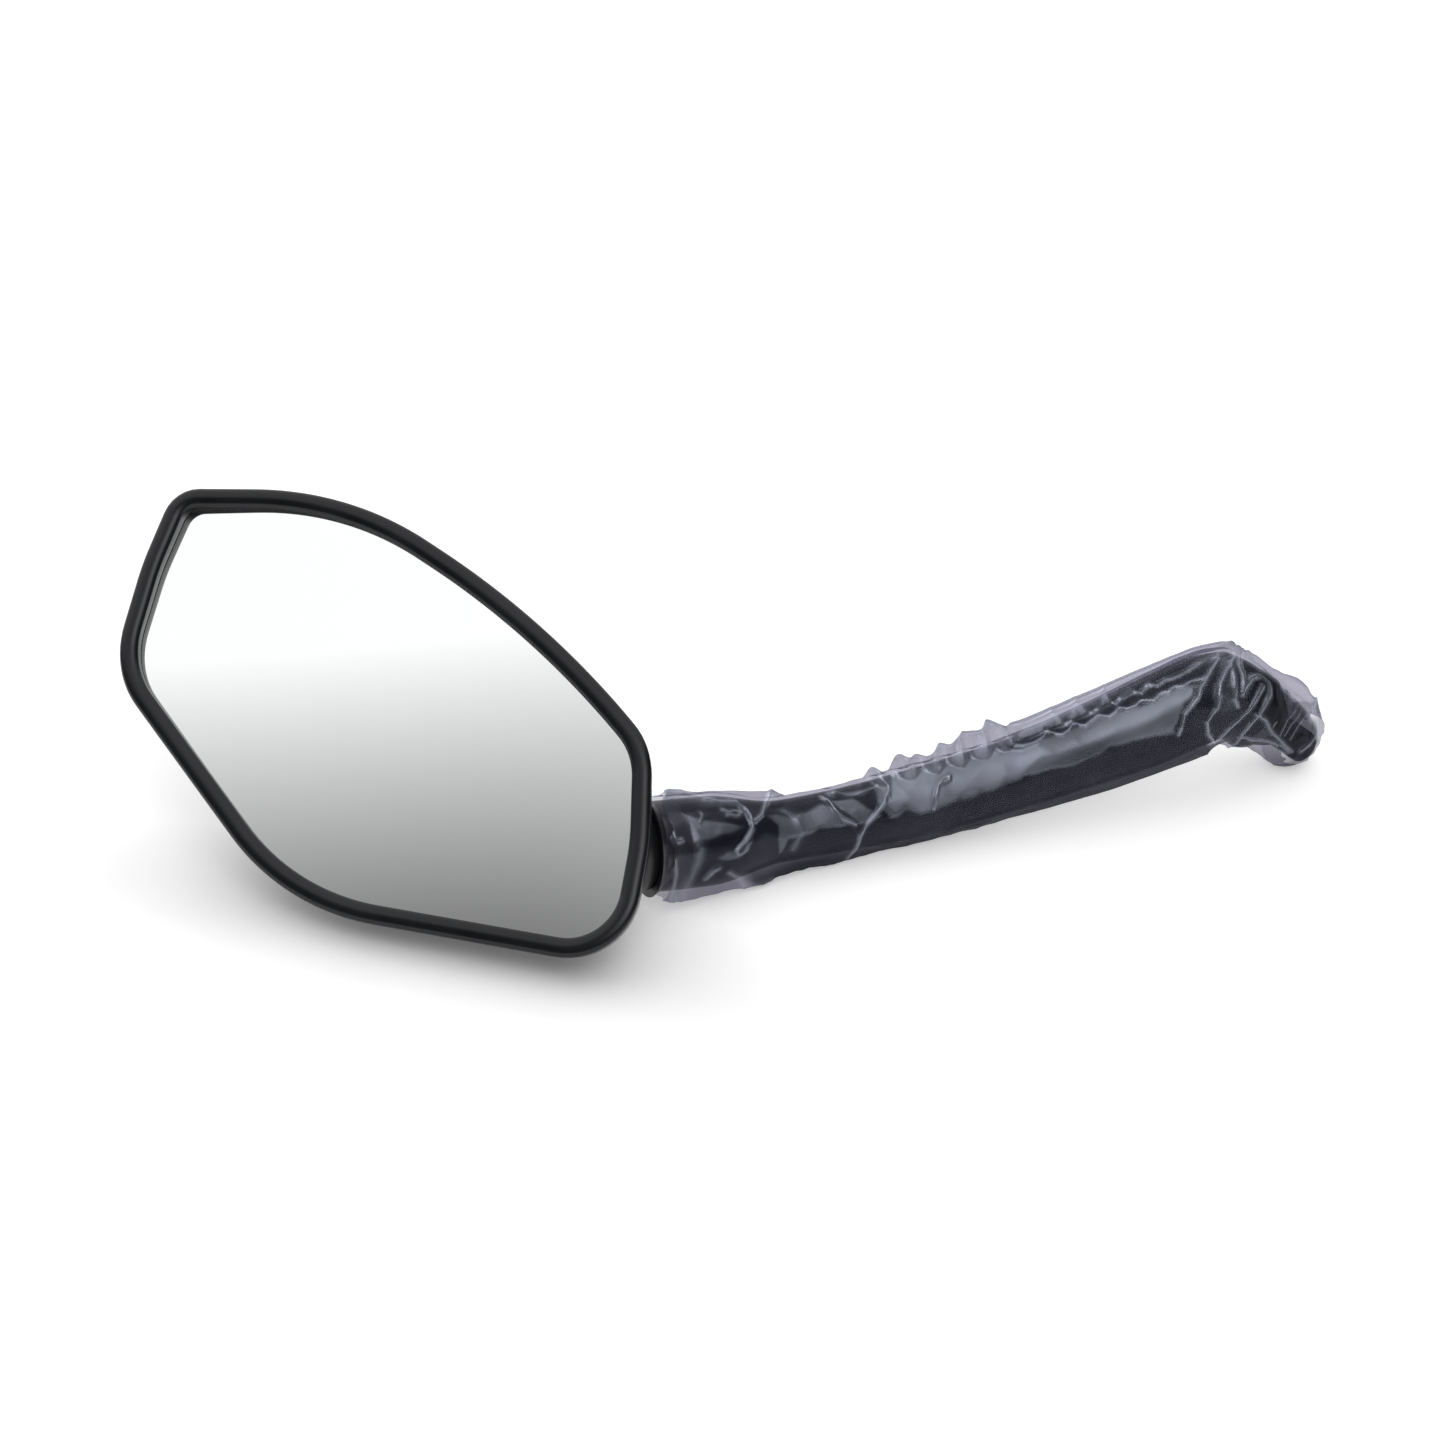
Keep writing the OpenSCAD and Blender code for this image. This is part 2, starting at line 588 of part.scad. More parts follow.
module arm_rear_shell() color([0.05, 0.05, 0.07]) difference() {
    union() {
        half_skin(1);
        at_screws() translate([0, 0, seam / 2]) cylinder(r = boss_screw_r, h = boss_l, $fn = 48);
    }
    at_screws() {
        cylinder(d = arm_screw_d + 2 * running, h = boss_l * 2, $fn = 48);
        translate([0, 0, boss_l - screw_head_t])
            cylinder(r = screw_head_r + running, h = elbow_t, $fn = 48);
    }
}

module arm_screws() color([0.5, 0.5, 0.52]) at_screws() {
    translate([0, 0, 2 * boss_end - boss_l])
        cylinder(d = arm_screw_d, h = 2 * (boss_l - boss_end) - screw_head_t + seam, $fn = 48);
    difference() {
        translate([0, 0, boss_l - screw_head_t + seam])
            cylinder(r = screw_head_r, h = screw_head_t, $fn = 48);
        for (turn = [0, 90]) rotate([0, 0, turn])
            translate([-screw_head_r, -slot_w / 2, boss_l - slot_w])
                cube([2 * screw_head_r, slot_w, screw_head_t]);
    }
}

// A rubber bush that holds the rod in the shells at length s
module rod_bush(s) {
    thin = min(arm_t(s - bush_l / 2), arm_t(s + bush_l / 2)) / 2 - arm_wall - slip;
    narrow = min(arm_w(s - bush_l / 2), arm_w(s + bush_l / 2)) / 2 - arm_wall - slip;
    color([0.1, 0.1, 0.1]) at_path(s) difference() {
        translate([0, 0, -bush_l / 2]) linear_extrude(bush_l)
            polygon([for (j = [0 : 39]) [thin * cos(9 * j), narrow * sin(9 * j)]]);
        translate([0, 0, -bush_l]) cylinder(r = rod_d / 2 + running, h = 2 * bush_l, $fn = 96);
    }
}

module neck_bush() rod_bush(s_neck_bush);
module mid_bush() rod_bush((s_bow + s_elbow) / 2);
module foot_bush() rod_bush(s_elbow - bush_l / 2 - 1);

// ---------- Foot ----------

module foot_collar() color([0.2, 0.2, 0.21]) at_path(s_face + seam)
    tube(foot_d / 2, rod_d / 2 + running, foot_collar_t - seam);

module foot_washer() color([0.75, 0.75, 0.76]) at_path(s_washer)
    tube(washer_d / 2, rod_d / 2 + running, washer_t);

module lock_nut() color([0.75, 0.75, 0.76]) at_path(s_nut) intersection() {
    difference() {
        cylinder(d = nut_af / cos(30), h = nut_h, $fn = 6);
        translate([0, 0, -1]) cylinder(r = rod_d / 2 + running, h = nut_h + 2, $fn = 96);
    }
    union() {
        cylinder(d1 = nut_af * 0.96, d2 = nut_af * 0.96 + nut_h * 2, h = nut_h / 2, $fn = 96);
        translate([0, 0, nut_h / 2])
            cylinder(d1 = nut_af * 0.96 + nut_h * 2, d2 = nut_af * 0.96, h = nut_h / 2, $fn = 96);
    }
}

// ---------- Film sleeve ----------

// The film's half thickness at length s along the foot
function film_foot(s) =
    foot_d / 2 + (nut_clear - foot_d / 2) * ease((s - s_face - foot_collar_t) / 2)
        - (nut_clear - stud_clear) * ease((s - s_free - nut_travel) / 5);
function film_slack(s) = film_gap + film_loose * (1 - ease((s - neck_l) / (3 * neck_l)));
function film_point(s, out, angle) =
    s <= s_face ? section_point(s, film_slack(s) + out, angle) :
    let (r = film_gap + out + film_foot(s)) beside(s, r * sin(angle), r * cos(angle));
function film_ring(s, out) =
    [for (j = [0 : FILM_SIDES - 1]) film_point(s, out, -360 * j / FILM_SIDES)];
film_stations = concat([film_start], stations(arm_start, s_face),
    [for (i = [1 : 5]) s_face + foot_collar_t + i * 0.5],
    [for (i = [0 : 5]) s_free + nut_travel + i], [film_end]);

module film_sleeve() color([0.6, 0.62, 0.68, 0.4]) at_ball() rings([
    for (s = film_stations) film_ring(s, film_t),
    for (i = [len(film_stations) - 1 : -1 : 0]) film_ring(film_stations[i], 0)], true);

head_shell();
rim_bezel();
mirror_glass();
glass_pad();
socket_clamp();
clamp_screws();
clamp_springs();
seat_ring();
seat_cup();
ball_stud();
neck_skirt();
stem_rod();
arm_front_shell();
arm_rear_shell();
arm_screws();
neck_bush();
mid_bush();
foot_bush();
foot_collar();
foot_washer();
lock_nut();
film_sleeve();
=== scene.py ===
"""A motorcycle mirror lying on its back: head, ball joint, bowed arm, threaded foot and the
clear film sleeve that protects the arm. Lengths are in millimetres, apart from the stage's,
the panel's and those of the finished meshes, which are in metres."""

import json
import math

import bmesh
import bpy
import numpy as np
from bpy.props import FloatProperty, FloatVectorProperty, IntProperty, PointerProperty
from mathutils import Matrix, Vector, noise


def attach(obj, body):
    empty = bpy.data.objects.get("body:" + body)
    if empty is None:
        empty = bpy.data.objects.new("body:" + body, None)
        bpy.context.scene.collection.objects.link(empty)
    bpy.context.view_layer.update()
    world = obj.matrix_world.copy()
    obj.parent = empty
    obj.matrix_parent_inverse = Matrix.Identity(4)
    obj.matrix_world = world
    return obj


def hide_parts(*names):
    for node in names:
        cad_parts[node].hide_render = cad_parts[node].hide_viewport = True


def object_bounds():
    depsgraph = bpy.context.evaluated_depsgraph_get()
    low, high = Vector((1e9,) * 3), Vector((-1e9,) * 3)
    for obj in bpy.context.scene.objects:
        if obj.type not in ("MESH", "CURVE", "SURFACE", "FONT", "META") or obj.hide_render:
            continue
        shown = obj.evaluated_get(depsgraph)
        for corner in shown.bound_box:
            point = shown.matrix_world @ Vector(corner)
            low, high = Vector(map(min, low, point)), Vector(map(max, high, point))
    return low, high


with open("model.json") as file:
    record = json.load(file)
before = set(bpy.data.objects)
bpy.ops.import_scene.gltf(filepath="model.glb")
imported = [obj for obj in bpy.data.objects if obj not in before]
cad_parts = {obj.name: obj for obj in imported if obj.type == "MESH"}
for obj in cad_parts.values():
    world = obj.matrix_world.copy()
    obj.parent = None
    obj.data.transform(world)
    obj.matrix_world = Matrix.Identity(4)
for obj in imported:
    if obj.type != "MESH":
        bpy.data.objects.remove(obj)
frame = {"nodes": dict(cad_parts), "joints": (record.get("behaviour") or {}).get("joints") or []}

bl_info = {
    "name": "Motorcycle Mirror",
    "version": (1, 0, 0),
    "blender": (4, 5, 0),
    "location": "3D View > Sidebar > Mirror",
    "description": "Builds a motorcycle mirror with its arm in a clear film sleeve",
    "category": "Add Mesh",
}

MM = 0.001
CAD_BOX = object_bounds()
JOINTS = {j["name"]: j for j in frame["joints"]}
BALL = Vector(JOINTS["head_roll"]["pos_m"]) / MM

# The camera and the floor in metres, and the lens and its sensor in millimetres
TARGET = Vector((-0.16238, 0.00771, -0.00025))
CAMERA_OFFSET = Vector((0, -0.8569, 0.4947))
LENS, SENSOR = 85, 36
FLOOR_HALF, FLOOR_GAP = 30, 0.00002

# The floor's glow, and the ellipse under the resting head where it is lowered as a painted shadow
PAINTED_SHADOW_GLOW, GLOW = 0.1, 0.4
PAINTED_SHADOW_PLACE, PAINTED_SHADOW_TURN, PAINTED_SHADOW_RADII = (-0.243, -0.092, 0), -20, (0.065, 0.018, 1)
PAINTED_SHADOW_INNER, PAINTED_SHADOW_OUTER = 0.6, 2.2

# The studio's broad light. How bright it looks rises evenly towards SKY_WAY, between limits,
# and the toe and the power turn that into light. The spot is narrower and above the camera.
SKY_WAY = (-0.2248, 0.5442, 0.8083)
SKY_SLOPE, SKY_START = 3.2315, -0.9196
SKY_DARKEST, SKY_BRIGHTEST = 0.45, 1.03
TOE, LIGHT_POWER = 0.055, 2.4
SPOT_WAY = Vector((0.15, -0.62, 0.77)).normalized()
SPOT_POWER, SPOT_LEVEL = 20, 3.4

# The head's outline: shares of its half width and half height, and the corner's radius
HEAD_CORNERS = (
    (-0.965, 0.915, 10), (-1, 0.51, 76), (-1, -0.045, 28), (-0.16, -1.012, 72),
    (1.018, -0.967, 19), (0.988, -0.37, 67), (0.915, 0.08, 23), (0.467, 0.58, 280),
    (-0.34, 1.056, 102),
)
HALF_W, HALF_H = 82.5, 56.75
HEAD_TURN, HEAD_TILT = -20, 45
BALL_IN_HEAD = Vector((65.5, -20, -23))
RIM_BOTTOM = -6.11
GLASS_INSET = 3.6
# How far the glass lies below the top of the rim's bead, and half the size of the grid that
# it is cut from
GLASS_DROP = 1.4
GLASS_SHEET = (90, 64, 1)

# The arm's centreline, by length from the ball's centre
NECK_DROP, BOW_END, FOOT_DROP = 6.7, 15.6, 40.5
BOW_R, ELBOW_R = 390, 18
S_BOW = 22
S_ELBOW = S_BOW + math.radians(NECK_DROP + BOW_END) * BOW_R
S_FOOT = S_ELBOW + math.radians(BOW_END + FOOT_DROP) * ELBOW_R
S_FACE = S_FOOT + 2
ARM_START = 16.25
COLLAR_T, WAIST_T, MID_T, ELBOW_T, FOOT_T = 24.5, 17.5, 20.5, 26, 22.5
ARM_FLAT = 0.88
ARM_WALL = 2
ARM_AZIMUTH = 21.5
SEAM = 0.05
ARM_ROWS = 150

# The foot's free thread: where it starts and ends along the arm, its radius and pitch
S_FREE, S_TIP = 204.51, 221.01
STUD_R, PITCH = 4.8, 1.25
THREAD_ROWS, THREAD_COLUMNS, THREAD_START = 162, 48, -0.4


# ---------- Sizes and colours ----------


def length(name, description, millimetres):
    return FloatProperty(
        name=name, description=description, default=millimetres * MM, min=0, unit="LENGTH"
    )


def colour(name, description, rgb):
    return FloatVectorProperty(
        name=name, description=description, default=rgb, size=3, min=0, max=1, subtype="COLOR"
    )


class HeadSizes(bpy.types.PropertyGroup):
    bead_width: length("Bead width", "Width of the rim's rounded bead", 5.4)
    bead_height: length("Bead height", "Height of the bead above the rim plane", 2)
    glass_thickness: length("Glass", "Thickness of the mirror glass", 3)
    glass_radius: length("Glass radius", "Radius that the glass is curved to", 1400)


class ArmSizes(bpy.types.PropertyGroup):
    shell_sides: IntProperty(
        name="Shell sides", description="Faces round half the arm", default=28, min=8
    )
    thread_depth: length("Thread depth", "Depth of the foot's thread", 0.62)


class FilmSizes(bpy.types.PropertyGroup):
    gap: length("Gap", "Gap between the arm and the film", 0.7)
    crumple: length("Crumple", "Height of the film's small creases", 0.34)
    sway: length("Sway", "Height of the film's broad waves", 0.55)


class Colours(bpy.types.PropertyGroup):
    rim: colour("Rim", "Satin black of the rim", (0.0045, 0.005, 0.007))
    shell: colour("Back shell", "Black of the moulded back", (0.011, 0.0115, 0.0125))
    arm: colour("Arm", "Blue-black of the arm's shells", (0.0045, 0.007, 0.019))
    skirt: colour("Skirt", "Black of the skirt round the ball joint", (0.016, 0.014, 0.022))
    film: colour("Film", "What the clear film lets through", (0.62, 0.61, 0.67))
    steel: colour("Plated steel", "Dark plating of the foot", (0.13, 0.13, 0.14))


# ---------- Where things lie ----------


def head_matrix():
    """From the rim's own frame to the row's, in millimetres."""
    return (
        Matrix.Translation(BALL)
        @ Matrix.Rotation(math.radians(HEAD_TURN), 4, "Z")
        @ Matrix.Rotation(math.radians(HEAD_TILT), 4, "X")
        @ Matrix.Translation(-BALL_IN_HEAD)
    )


def ease(t):
    """A smooth step from 0 to 1, level at both ends."""
    t = np.clip(t, 0, 1)
    return t * t * (3 - 2 * t)


def heading(s):
    """Angle of the arm above level at length s, in radians."""
    degrees = np.where(
        s < S_BOW, -NECK_DROP,
        np.where(s < S_ELBOW, -NECK_DROP + np.degrees((s - S_BOW) / BOW_R),
                 np.where(s < S_FOOT, BOW_END - np.degrees((s - S_ELBOW) / ELBOW_R), -FOOT_DROP)),
    )
    return np.radians(degrees)


def path(s):
    """The centreline at length s: distance along the ground and height, from the ball."""
    neck, bow, foot = (math.radians(a) for a in (NECK_DROP, BOW_END, FOOT_DROP))
    h = heading(s)
    x = np.minimum(s, S_BOW) * math.cos(neck)
    z = -np.minimum(s, S_BOW) * math.sin(neck)
    in_bow = np.where(s < S_ELBOW, h, bow)
    x += np.where(s > S_BOW, BOW_R * (np.sin(in_bow) + math.sin(neck)), 0)
    z += np.where(s > S_BOW, BOW_R * (math.cos(neck) - np.cos(in_bow)), 0)
    x += np.where(s > S_ELBOW, ELBOW_R * (math.sin(bow) - np.sin(h)), 0)
    z += np.where(s > S_ELBOW, ELBOW_R * (np.cos(h) - math.cos(bow)), 0)
    straight = np.maximum(s - S_FOOT, 0)
    return x + straight * math.cos(foot), z - straight * math.sin(foot)


def arm_thickness(s):
    """The arm's thickness in its own plane at length s."""
    f = (s - ARM_START) / (S_ELBOW - ARM_START)
    t = COLLAR_T + (WAIST_T - COLLAR_T) * ease((f - 0.06) / 0.14)
    t += (MID_T - WAIST_T) * ease((f - 0.2) / 0.4) + (ELBOW_T - MID_T) * ease((f - 0.6) / 0.4)
    return t + (FOOT_T - ELBOW_T) * ease((s - S_ELBOW) / (S_FACE - S_ELBOW))


def arm_width(s):
    """The arm's width out of its plane at length s, the same as its thickness at its ends."""
    f = (s - ARM_START) / (S_ELBOW - ARM_START)
    flat = ease(f / 0.2) * (1 - ease((s - S_ELBOW) / (S_FACE - S_ELBOW)))
    return arm_thickness(s) * (1 - (1 - ARM_FLAT) * flat)


def elbow_crown(s):
    """Extra height that draws the elbow's back to a blunt point."""
    h = np.degrees(heading(s))
    a = np.where((s < S_ELBOW) | (s > S_FOOT), 0, np.minimum(BOW_END - h, h + FOOT_DROP))
    return 0.3 * (ELBOW_R + ELBOW_T / 2) * (1 / np.cos(np.radians(a)) - 1)


def beside(s, a, b):
    """Points a above the centreline in the arm's plane and b out of that plane."""
    x, z = path(s)
    h = heading(s)
    along, up = x - a * np.sin(h), z + a * np.cos(h)
    turn = math.radians(ARM_AZIMUTH)
    return np.stack([
        BALL.x + along * math.cos(turn) - b * math.sin(turn),
        BALL.y + along * math.sin(turn) + b * math.cos(turn),
        BALL.z + up,
    ], axis=-1)


def arm_point(s, grow, angle):
    """Points at length s and angle, grow outside the arm's surface."""
    up = arm_thickness(s) / 2 + grow + elbow_crown(s) * np.maximum(np.sin(angle), 0)
    return beside(s, up * np.sin(angle), (arm_width(s) / 2 + grow) * np.cos(angle))


def foot_matrix(s):
    """From a frame whose Z runs along the arm at length s to the row's frame."""
    h = float(heading(np.array(float(s))))
    origin = Vector(beside(np.array(float(s)), 0, 0))
    turn = Matrix.Rotation(math.radians(ARM_AZIMUTH), 4, "Z")
    return Matrix.Translation(origin) @ turn @ Matrix.Rotation(math.pi / 2 - h, 4, "Y")


# ---------- Making pieces ----------


def new_piece(bm, name, body, material, nodes, place=None, sharp=32):
    """Turns a bmesh in millimetres into a piece that rides on a body."""
    if place is not None:
        bm.transform(place)
    bm.transform(Matrix.Scale(MM, 4))
    for face in bm.faces:
        face.smooth = True
    for edge in bm.edges:
        edge.smooth = not edge.is_manifold or edge.calc_face_angle(0) < math.radians(sharp)
    mesh = bpy.data.meshes.new(name)
    bm.to_mesh(mesh)
    bm.free()
    mesh.materials.append(material)
    obj = bpy.data.objects.new(name, mesh)
    bpy.context.scene.collection.objects.link(obj)
    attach(obj, body)
    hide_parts(*nodes)
    return obj


def merged_copy(node):
    """A bmesh of a CAD node in millimetres, with its loose triangles joined."""
    bm = bmesh.new()
    bm.from_mesh(frame["nodes"][node].data)
    bmesh.ops.remove_doubles(bm, verts=bm.verts, dist=1e-6)
    bm.transform(Matrix.Scale(1 / MM, 4))
    return bm


def smooth_copy(node, name, body, material, sharp=32):
    """A merged copy of a CAD node, shaded smooth between its real edges."""
    return new_piece(merged_copy(node), name, body, material, (node,), sharp=sharp)


def outline_corners():
    """Each rounded corner of the head: its centre, radius, first angle and turn."""
    points = [Vector((x * HALF_W, y * HALF_H)) for x, y, _ in HEAD_CORNERS]
    found = []
    for i, (_, _, r) in enumerate(HEAD_CORNERS):
        before = (points[i] - points[i - 1]).normalized()
        after = (points[(i + 1) % len(points)] - points[i]).normalized()
        left = Vector((-before.y, before.x)) + Vector((-after.y, after.x))
        centre = points[i] + left / (1 + before.dot(after)) * r
        start = math.atan2(-before.x, before.y)
        found.append((centre, r, start, math.acos(before.dot(after))))
    return found


def sweep_outline(bm, profile, step=2.2):
    """Sweeps a closed profile of (inset, height, follow) points round the head's outline.
    Returns the layer that holds follow, how much of the glass's curve a point takes up."""
    corners = outline_corners()
    follow = bm.verts.layers.float.new("follow")
    centre, r, start, _ = corners[0]
    out = Vector((math.cos(start), math.sin(start)))
    verts = []
    for inset, z, share in profile:
        at = centre + out * (r - inset)
        vert = bm.verts.new((at.x, at.y, z))
        vert[follow] = share
        verts.append(vert)
    loop = verts + [bm.edges.new(pair) for pair in zip(verts, verts[1:] + verts[:1])]
    for i, (centre, r, start, turn) in enumerate(corners):
        spun = bmesh.ops.spin(
            bm, geom=loop, cent=centre.to_3d(), axis=(0, 0, 1), dvec=(0, 0, 0), angle=turn,
            steps=max(4, math.ceil(turn * r / step)), use_merge=False, use_duplicate=False,
        )["geom_last"]
        end = start + turn
        here = centre + Vector((math.cos(end), math.sin(end))) * r
        centre, r, start, _ = corners[(i + 1) % len(corners)]
        there = centre + Vector((math.cos(start), math.sin(start))) * r
        grown = bmesh.ops.extrude_edge_only(
            bm, edges=[g for g in spun if isinstance(g, bmesh.types.BMEdge)]
        )["geom"]
        moved = [g for g in grown if isinstance(g, bmesh.types.BMVert)]
        bmesh.ops.translate(bm, verts=moved, vec=(there - here).to_3d())
        ends = set(moved)
        loop = moved + [
            g for g in grown if isinstance(g, bmesh.types.BMEdge) and set(g.verts) <= ends
        ]
    bmesh.ops.remove_doubles(bm, verts=bm.verts, dist=1e-3)
    return follow


def curve_down(p, radius):
    """Height of the glass's curve at a point: zero in its middle, and less outwards."""
    return -(p.x * p.x + p.y * p.y) / (2 * radius)


def noise_at(points, scale, shift=0.0):
    """Smooth noise at points, about -1 to 1, with features of about scale millimetres."""
    moved = points / scale + shift
    return np.array([noise.noise(Vector(p)) for p in moved.reshape(-1, 3)]).reshape(
        points.shape[:-1]
    )


# ---------- Materials ----------


def shader(name, rgb, roughness, **values):
    """A new material with one Principled shader. Returns it, its tree and the shader."""
    material = bpy.data.materials.new(name)
    material.use_nodes = True
    tree = material.node_tree
    principled = tree.nodes["Principled BSDF"]
    principled.inputs["Base Color"].default_value = (*rgb, 1)
    principled.inputs["Roughness"].default_value = roughness
    for key, value in values.items():
        principled.inputs[key.replace("_", " ")].default_value = value
    return material, tree, principled


def speckle(tree, scale, detail=3.0, stretch=(1, 1, 1)):
    """Noise on the piece's own coordinates, with about scale features to the metre."""
    where = tree.nodes.new("ShaderNodeTexCoord")
    mapping = tree.nodes.new("ShaderNodeMapping")
    mapping.inputs["Scale"].default_value = stretch
    grain = tree.nodes.new("ShaderNodeTexNoise")
    grain.inputs["Scale"].default_value = scale
    grain.inputs["Detail"].default_value = detail
    tree.links.new(where.outputs["Object"], mapping.inputs["Vector"])
    tree.links.new(mapping.outputs["Vector"], grain.inputs["Vector"])
    return grain.outputs["Fac"]


def spread(tree, source, low, high, first=0.3, last=0.7):
    """Maps first to last onto low to high. Most noise lies between 0.3 and 0.7."""
    ranged = tree.nodes.new("ShaderNodeMapRange")
    for name, value in (("From Min", first), ("From Max", last), ("To Min", low),
                        ("To Max", high)):
        ranged.inputs[name].default_value = value
    tree.links.new(source, ranged.inputs["Value"])
    return ranged.outputs["Result"]


def calc(tree, operation, *values, clamp=False):
    """A maths node's output. Each value is a plain number or another node's output."""
    node = tree.nodes.new("ShaderNodeMath")
    node.operation = operation
    node.use_clamp = clamp
    for socket, value in zip(node.inputs, values):
        if isinstance(value, bpy.types.NodeSocket):
            tree.links.new(value, socket)
        else:
            socket.default_value = value
    return node.outputs[0]


def tint(tree, source, dark, light):
    """Blends two colours by noise."""
    ramp = tree.nodes.new("ShaderNodeValToRGB")
    ramp.color_ramp.elements[0].position = 0.35
    ramp.color_ramp.elements[0].color = (*dark, 1)
    ramp.color_ramp.elements[1].position = 0.7
    ramp.color_ramp.elements[1].color = (*light, 1)
    tree.links.new(source, ramp.inputs["Fac"])
    return ramp.outputs["Color"]


def attribute(tree, name):
    """One of the piece's own values, stored on its vertices."""
    node = tree.nodes.new("ShaderNodeAttribute")
    node.attribute_name = name
    return node.outputs["Fac"]


def blend(tree, share, first, second):
    """Mixes two colours, each plain or from another node, by a share."""
    mix = tree.nodes.new("ShaderNodeMix")
    mix.data_type = "RGBA"
    tree.links.new(share, mix.inputs["Factor"])
    for socket, value in zip((mix.inputs[6], mix.inputs[7]), (first, second)):
        if isinstance(value, bpy.types.NodeSocket):
            tree.links.new(value, socket)
        else:
            socket.default_value = (*value, 1)
    return mix.outputs[2]


def bump(tree, principled, height, depth):
    """Bump of depth millimetres."""
    node = tree.nodes.new("ShaderNodeBump")
    node.inputs["Strength"].default_value = 1
    node.inputs["Distance"].default_value = depth * MM
    tree.links.new(height, node.inputs["Height"])
    tree.links.new(node.outputs["Normal"], principled.inputs["Normal"])


def moulded(name, rgb, rough, grain, depth, detail=3.0, **values):
    """Moulded plastic: a fine grain, cloudy gloss and a slight shift of shade."""
    material, tree, principled = shader(name, rgb, rough, **values)
    fine = speckle(tree, grain, detail)
    cloud = speckle(tree, 55, 4)
    lighter = [min(1, c * 1.35 + 0.0015) for c in rgb]
    tree.links.new(tint(tree, cloud, [c * 0.85 for c in rgb], lighter),
                   principled.inputs["Base Color"])
    tree.links.new(spread(tree, cloud, rough * 0.86, rough * 1.16),
                   principled.inputs["Roughness"])
    bump(tree, principled, fine, depth)
    return material


def metal(name, rgb, rough, grain=900, depth=0.006, stretch=(1, 1, 1), **values):
    """Plated or turned metal with fine marks and uneven gloss."""
    material, tree, principled = shader(name, rgb, rough, Metallic=1.0, **values)
    marks = speckle(tree, grain, 5, stretch)
    tree.links.new(tint(tree, speckle(tree, 130, 5), [c * 0.8 for c in rgb],
                        [min(1, c * 1.12) for c in rgb]), principled.inputs["Base Color"])
    tree.links.new(spread(tree, marks, rough * 0.75, rough * 1.3),
                   principled.inputs["Roughness"])
    bump(tree, principled, marks, depth)
    return material


def mirror_coating():
    """Silvered glass with a faint haze."""
    material, tree, principled = shader(
        "mirror_silver", (0.92, 0.925, 0.93), 0.012, Metallic=1.0
    )
    haze = speckle(tree, 24, 6)
    tree.links.new(spread(tree, haze, 0.008, 0.022), principled.inputs["Roughness"])
    return material


def film_plastic(rgb):
    """Clear film, seen through and tinted, with the gloss of both of its faces. The fold
    attribute is how sharply it is creased; another is how far it stands off what it wraps,
    with a painted sheen there that makes it paler and less clear; a third is how far it is
    darkened, by bunched layers and as painted shade along its underside."""
    material, tree, principled = shader("clear_film", (0.58, 0.61, 0.74), 0.13, Metallic=0.6)
    links = tree.links
    edge = tree.nodes.new("ShaderNodeLayerWeight")
    edge.inputs["Blend"].default_value = 0.3
    steep = calc(tree, "POWER", edge.outputs["Facing"], 3)
    fold, lift_and_sheen = attribute(tree, "fold"), attribute(tree, "lift_and_sheen")
    solid = spread(tree, speckle(tree, 70, 4), 0.022, 0.042)
    # fold and the lifted patches raise the share of the pale glossy shader; over the lifted
    # patches that is a painted sheen
    for source, share in ((steep, 0.22), (fold, 0.42), (lift_and_sheen, 0.29)):
        solid = calc(tree, "MULTIPLY_ADD", source, share, solid, clamp=True)
    rough = spread(tree, speckle(tree, 120, 1), 0.19, 0.25)
    for source, share in ((fold, -0.1), (lift_and_sheen, 0.22)):
        rough = calc(tree, "MULTIPLY_ADD", source, share, rough)
    links.new(rough, principled.inputs["Roughness"])
    bump(tree, principled, speckle(tree, 260, 0), 0.015)
    through = tree.nodes.new("ShaderNodeBsdfTransparent")
    clear = blend(tree, steep, rgb, [c * 0.55 for c in rgb])
    # darkens what the film lets through: bunched layers, and painted shade along the underside
    links.new(blend(tree, attribute(tree, "dense_and_shade"), clear, (0.07, 0.07, 0.09)),
              through.inputs["Color"])
    both = tree.nodes.new("ShaderNodeMixShader")
    links.new(solid, both.inputs[0])
    links.new(through.outputs[0], both.inputs[1])
    links.new(principled.outputs[0], both.inputs[2])
    links.new(both.outputs[0], tree.nodes["Material Output"].inputs["Surface"])
    return material


# ---------- The film's shape ----------

# By length along the arm: height of the pleated flap along its top
TOP_FLAP = (
    (8.8, 4.2), (27.8, 2.5), (43, 3.5), (45.8, 2.4), (47, 1.3), (50, 0.9), (53.8, 0.1), (56, 1.6),
    (58, 0.1), (60.2, 1.4), (62, 1.6), (64.5, 0.7), (68, 1.1), (72, 1.7), (74.2, 4.1), (75.5, 4.1),
    (79.2, 1.7), (80, 1.8), (81, 3.9), (83, 6.7), (84.5, 6.0), (91, 3.5), (92.2, 4.5), (94.2, 6.2),
    (98.8, 5.1), (100, 7.7), (101.2, 8.4), (104.5, 6.9), (108.2, 8.8), (110.2, 9.2), (114.8, 7.6),
    (116.3, 6.0), (136.8, 6.5), (165.8, 5.3), (175.5, 4.6), (180, 4.1), (183.8, 1.5), (187.8, 1.7),
    (191, 1.0), (196.2, 1.9), (201.2, 3.5), (203.8, 3.6), (210.8, 2.5), (218.8, 0),
)
# By length along the arm: angle and height of the fold under it
LOW_FOLD = ((10, -136, 2.4), (17, -134, 2.8), (22, -132, 1.9), (28, -131, 1.1), (35, -129, 1.9),
            (40, -128, 3.0), (46, -126, 2.7), (54, -122, 1.6), (60, -118, 1.8), (66, -112, 1.6),
            (82, -110, 1.2), (96, -107, 0.8), (110, -106, 1.2), (140, -104, 2.2),
            (175, -104, 2.8), (181, -102, 2.6), (190, -100, 0.6), (196, -100, 0.1))
